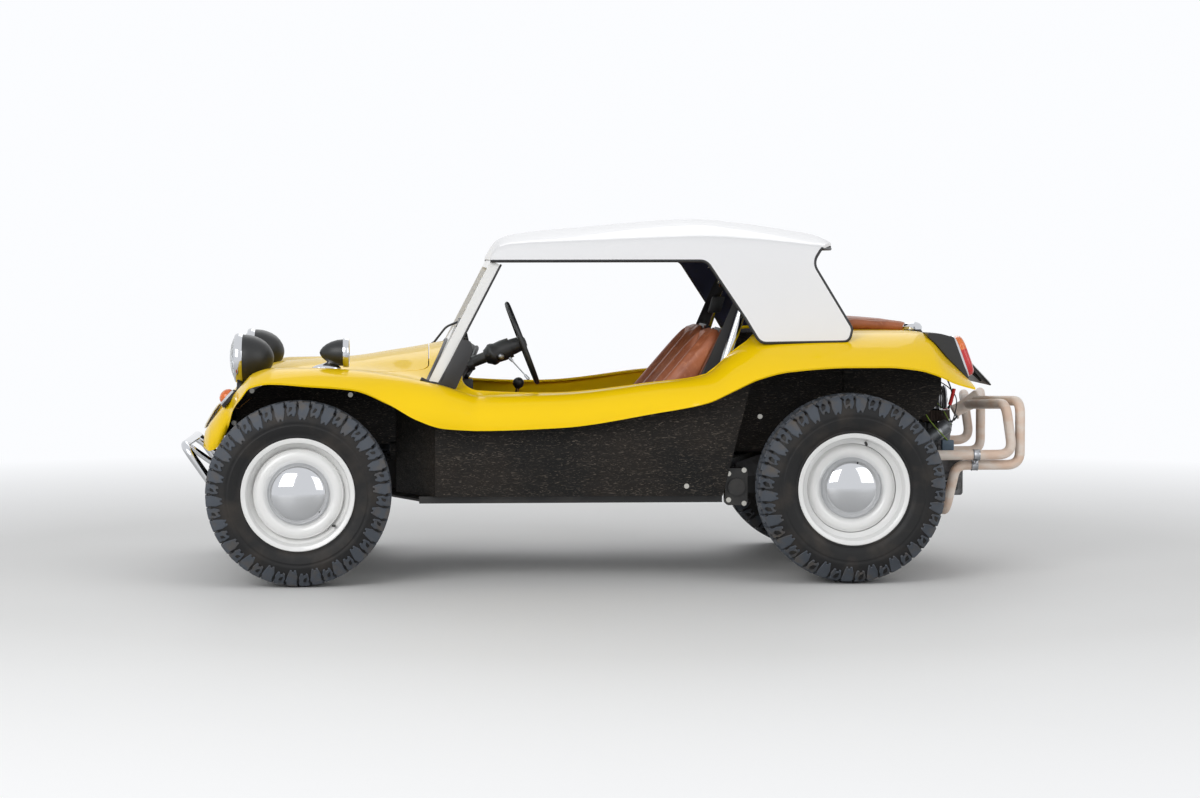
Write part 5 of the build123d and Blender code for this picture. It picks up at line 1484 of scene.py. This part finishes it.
# Belts: black webbing from the roll hoop down to the floor rail beside each seat, with a plastic slip
# guide, a reel on the hoop and a buckle on the tunnel side.
def webbing(name, line, across, width, material):
    """Flat strap along a smooth line, across pointing along its width."""
    line = [Vector(p) for p in line]
    dense = []
    for k in range(len(line) - 1):
        p0, p1, p2, p3 = line[max(k - 1, 0)], line[k], line[k + 1], line[min(k + 2, len(line) - 1)]
        for t in np.linspace(0, 1, 8, endpoint=False):
            dense.append(((2 * p1) + (p2 - p0) * t + (2 * p0 - 5 * p1 + 4 * p2 - p3) * t * t
                          + (3 * p1 - 3 * p2 + p3 - p0) * t ** 3) / 2)
    dense.append(line[-1])
    rows = []
    for k, here in enumerate(dense):
        along = (dense[min(k + 1, len(dense) - 1)] - dense[max(k - 1, 0)]).normalized()
        wide = (Vector(across) - along * along.dot(Vector(across))).normalized()
        thin = along.cross(wide) * 0.0009
        half = wide * width / 2
        rows.append([here - half - thin, here + half - thin, here + half + thin, here - half + thin])
    return lofted(name, rows, material, 30)


belt_weave = grain(finish("belt_weave", (0.016, 0.016, 0.018), 0.7), 0.0022, 0.0005, 1.0, (1, 1, 3))
for side, sign in SIDES:
    belt_line = [spot(s, sign * y, z) for s, y, z in ((1694, 505, 1140), (1660, 512, 1070), (1627, 513, 996),
                                                      (1578, 513, 882), (1532, 513, 769), (1478, 522, 600),
                                                      (1444, 534, 450), (1432, 540, 340))]
    belt = [webbing("strap", belt_line, (1, 0, -0.4), 0.046, belt_weave),
            slab("reel", oblong(-26, 26, -34, 34, 8), 40,
                 lambda x, z, out, sign=sign: spot(1655 + x + z * 0.3, sign * (470 + out), 1010 + z),
                 satin_black, 0.004),
            slab("guide", oblong(-32, 32, -14, 14, 8), 8,
                 lambda x, z, out, sign=sign: spot(1692 + x, sign * (498 + out), 1136 + z), satin_black,
                 0.003),
            webbing("buckle_stalk", [spot(1268, sign * 104, 450), spot(1262, sign * 100, 500),
                                     spot(1252, sign * 98, 545)], (1, 0, 0.2), 0.030, belt_weave),
            slab("buckle", oblong(-17, 17, -30, 30, 6), 16,
                 lambda x, z, out, sign=sign: spot(1247 + x - z * 0.2, sign * (90 + out), 570 + z),
                 satin_black, 0.004)]
    set_on(joined(f"belt_{side}", belt))

# Fan shroud, generator and engine fittings: pressed tin in gloss black, steel pulleys with one V-belt, two
# carburettors under pleated filters, the coil, its wires, and the valve covers held by wire bails.
black_tin = polish(grain(finish("black_tin", (0.012, 0.012, 0.013), 0.3, coat=0.4), 0.02, 0.0003), 0.1, 0.22,
                   0.4)
patches(black_tin, 0.12, (0.05, 0.045, 0.04), 0.55, 0.8)
dress(black_tin, "fan_shroud")
belt_rubber = grain(finish("belt_rubber", (0.010, 0.010, 0.010), 0.6), 0.004, 0.0003)
pulley_parts = []
for station, z, radius in ((2520, 372, 86), (2490, 640, 58)):
    pulley_parts.append(turned("pulley", [(0, 0), (0, radius - 1.5), (2, radius), (5, radius),
                                          (10, radius - 13), (16, radius - 13), (21, radius), (24, radius),
                                          (26, radius - 2), (24, radius - 12), (19, 26), (26, 22), (26, 0)],
                               spot(station, 0, z), AFT, clamp_steel, 64))
    pulley_parts.append(turned("nut", [(24, 0), (24, 14), (34, 14), (36, 11), (36, 0)], spot(station, 0, z),
                               AFT, chrome, 6, 20))
belt_path = []
for z, radius, station, first, last in ((640, 50, 2503, -8, 188), (372, 78, 2533, 172, 368)):
    for a in np.radians(np.linspace(first, last, 20)):
        belt_path.append(spot(station, radius * math.cos(a), z + radius * math.sin(a)))
pulley_parts.append(tube("v_belt", belt_path, 0.005, belt_rubber, closed=True, sides=3))
pulley_parts.append(turned("generator_end", [(0, 0), (0, 50), (6, 53.5), (10, 53.5), (10, 0)],
                           spot(2478, 0, 640), AFT, clamp_steel, 48))
pulley_parts.append(tube("generator_strap", [spot(2425, 55.5 * math.cos(a), 640 + 55.5 * math.sin(a))
                                             for a in np.linspace(0, 2 * math.pi, 41)[:-1]], 0.004,
                         clamp_steel, closed=True))
set_on(joined("engine_pulleys", pulley_parts), stands_for=("engine_fittings",))
pleat_paper = grain(finish("pleat_paper", (0.075, 0.055, 0.045), 0.7), 0.003, 0.0003)
COVER_HALF = (119, 43)
carb_parts, cover_parts = [], []
for _, sign in SIDES:
    carb_foot = spot(2440, sign * 190, 563)
    carb_parts.append(slab("carburettor", oblong(-33, 33, -28, 28, 10), 92,
                           lambda x, y, out, sign=sign: spot(2440 + x, sign * 190 + y, 471 + out), cast_alloy,
                           0.005))
    carb_parts.append(turned("float_bowl", [(0, 0), (0, 20), (30, 22), (44, 18), (46, 0)],
                             spot(2482, sign * 190, 486), UP, cast_alloy, 32))
    pleats = []
    for k in range(120):
        turn, radius = 2 * math.pi * k / 120, 0.058 if k % 2 else 0.052
        pleats.append(spot(2440, sign * 190, 568) + Vector((radius * math.cos(turn), radius * math.sin(turn),
                                                            0)))
    carb_parts.append(lofted("pleats", [pleats, [p + Vector((0, 0, 0.046)) for p in pleats]], pleat_paper,
                             20))
    for lid in ([(0, 0), (0, 60), (3, 62), (6, 60), (6, 0)], [(49, 0), (49, 60), (52, 62), (55, 58), (57, 20),
                                                              (57, 0)]):
        carb_parts.append(turned("lid", lid, carb_foot, UP, chrome, 64))
    carb_parts.append(turned("wing_nut", [(56, 0), (56, 8), (62, 7), (66, 4), (66, 0)], carb_foot, UP,
                             clamp_steel, 20))
    cover_rows = [[spot(2400 + p.x * (1 + shrink / COVER_HALF[0]), sign * out,
                        335 + p.y * (1 + shrink / COVER_HALF[1]))
                   for p in rounded(oblong(-COVER_HALF[0], COVER_HALF[0], -COVER_HALF[1], COVER_HALF[1], 22))]
                  for out, shrink in ((338, 0), (344, 0), (346, -3), (362, -5), (370, -11), (374, -22))]
    cover_parts.append(lofted("valve_cover", cover_rows, black_tin))
    bail = [(2300, 332, 372), (2300, 372, 372), (2310, 380, 352), (2400, 382, 340), (2490, 380, 352),
            (2500, 372, 372),
            (2500, 332, 372)]
    cover_parts.append(tube("bail", bends([(s, sign * y, z) for s, y, z in bail], 12), 0.003, clamp_steel))
set_on(joined("carburettors", carb_parts))
set_on(joined("valve_covers", cover_parts))
coil_grey = polish(grain(finish("coil_grey", (0.16, 0.17, 0.18), 0.35, 0.6), 0.02, 0.0003), 0.03, 0.3, 0.5)
tank_blue = grain(finish("relay_blue_grey", (0.10, 0.15, 0.20), 0.4), 0.01, 0.0004)
coil_foot, coil_way = spot(2400, -270, 500), Vector((92, 0, 66)).normalized()
coil_parts = [turned("coil", [(0, 0), (0, 25), (4, 29), (10, 30), (84, 30), (90, 27), (96, 27), (100, 22),
                              (104, 12), (112, 11), (113, 0)], coil_foot, coil_way, coil_grey, 48),
              turned("strap", [(46, 29), (46, 31.5), (62, 31.5), (62, 29)], coil_foot, coil_way, clamp_steel,
                     48),
              slab("foot", oblong(-8, 8, -9, 9, 3), 56, lambda x, y, out: spot(2434 + x, -270 + y, 442 + out),
                   chassis_black, 0.002),
              slab("relay", oblong(-23, 23, 0, 40, 5), 34,
                   lambda x, z, out: spot(2473 + x, -316 + out, 460 + z), tank_blue, 0.003),
              slab("tag", oblong(-17, 17, 0, 31, 3), 3, lambda x, z, out: spot(2400 + x, -150 - out, 637 + z),
                   plate_white, 0.0005)]
set_on(joined("ignition_coil", coil_parts))
wire_black = grain(finish("wire_black", (0.008, 0.008, 0.008), 0.4), 0.01, 0.0002)
wire_green = grain(finish("wire_green", (0.22, 0.34, 0.03), 0.45), 0.01, 0.0002)
clip_red = grain(finish("clip_red", (0.60, 0.012, 0.01), 0.4), 0.01, 0.0002)
# Leads: corners as (station, y, height), radius in metres, finish
WIRING = [
    ([(2503, -270, 574), (2530, -250, 600), (2512, -170, 560), (2470, -90, 520)], 0.0035, wire_black),
    ([(2498, -262, 566), (2536, -210, 640), (2500, -200, 700), (2430, -190, 735), (2360, -180, 742)], 0.0022,
     wire_black),
    ([(2488, -282, 560), (2470, -240, 612), (2440, -140, 655), (2418, -60, 668)], 0.002, wire_green),
    ([(2516, -200, 693), (2509, -203, 662), (2499, -200, 630)], 0.0075, clip_red),
    ([(2499, -200, 630), (2496, -190, 590), (2520, -150, 545), (2500, -110, 500)], 0.0025, wire_black),
    ([(2380, -225, 748), (2452, -215, 705), (2478, -212, 650), (2462, -240, 590)], 0.003, wire_black),
    ([(2470, -318, 500), (2430, -330, 540), (2380, -310, 600), (2350, -250, 700)], 0.0022, wire_green),
    ([(2520, -120, 560), (2534, -60, 520), (2520, -30, 480)], 0.003, wire_black),
    ([(2440, -100, 560), (2500, -150, 610), (2524, -185, 660), (2486, -205, 735)], 0.003, wire_black),
    ([(2440, 190, 560), (2480, 160, 610), (2470, 90, 660), (2420, 40, 690)], 0.003, wire_black),
    ([(2300, -240, 430), (2320, -250, 520), (2390, -240, 560), (2404, -268, 508)], 0.0035, wire_black),
    ([(2460, -240, 430), (2490, -230, 470), (2480, -200, 520), (2440, -120, 540)], 0.0035, wire_black),
]
wires = [tube("wire", [spot(*place) for place in line], radius, material, smooth=True, sides=3)
         for line, radius, material in WIRING]
set_on(joined("engine_wiring", wires))

# Bolts: zinc-plated hexagon heads on washers. They hold the inner wings, the torsion housing's covers and
# the side panels.
zinc = polish(grain(finish("zinc_plate", (0.52, 0.51, 0.47), 0.3, 1.0), 0.004, 0.0003), 0.01, 0.22, 0.45)
# Places on one side: station, distance from the middle, height
BOLT_PLACES = [(-189, 386, 701), (-257, 386, 580), (181, 386, 685), (1728, 458, 602), (1955, 458, 666),
               (1432, 653, 355),
               (1592, 621, 398), (1650, 621, 411), (1592, 621, 300), (1650, 621, 287)]
bolt_tree = repeater("bolts", zinc, {"Radius": "Float", "Height": "Float"}, {
    "way": ("GeometryNodeInputNamedAttribute", {"data_type": "FLOAT_VECTOR", "Name": "facing"}),
    "aim": ("FunctionNodeAlignRotationToVector", {"axis": "Z"}),
    "head": ("GeometryNodeMeshCylinder", {"Vertices": 6}),
    "washer": ("GeometryNodeMeshCylinder", {"Vertices": 24}),
    "wide": ("ShaderNodeMath", {"operation": "MULTIPLY", 1: 1.7}),
    "thin": ("ShaderNodeMath", {"operation": "MULTIPLY", 1: 0.5}),
    "both": ("GeometryNodeJoinGeometry", {})}, [
    ("in", "Radius", "head", "Radius"), ("in", "Height", "head", "Depth"), ("in", "Radius", "wide", 0),
    ("wide", 0, "washer", "Radius"), ("in", "Height", "thin", 0), ("thin", 0, "washer", "Depth"),
    ("head", "Mesh", "both", 0), ("washer", "Mesh", "both", 0), ("way", "Attribute", "aim", "Vector"),
    ("aim", "Rotation", "put", "Rotation"), ("in", "Geometry", "put", "Points"),
    ("both", 0, "put", "Instance")])
bolt_mesh = bpy.data.meshes.new("bolt_heads")
bolt_mesh.from_pydata([tuple(spot(s, sign * y, z)) for _, sign in SIDES for s, y, z in BOLT_PLACES], [], [])
bolt_mesh.materials.append(zinc)
bolt_mesh.attributes.new("facing", "FLOAT_VECTOR", "POINT").data.foreach_set(
    "vector", [c for _, sign in SIDES for _ in BOLT_PLACES for c in (0, sign, 0)])
set_on(repeated(placed("bolt_heads", bolt_mesh), bolt_tree, 20, Radius=0.0055, Height=0.006))
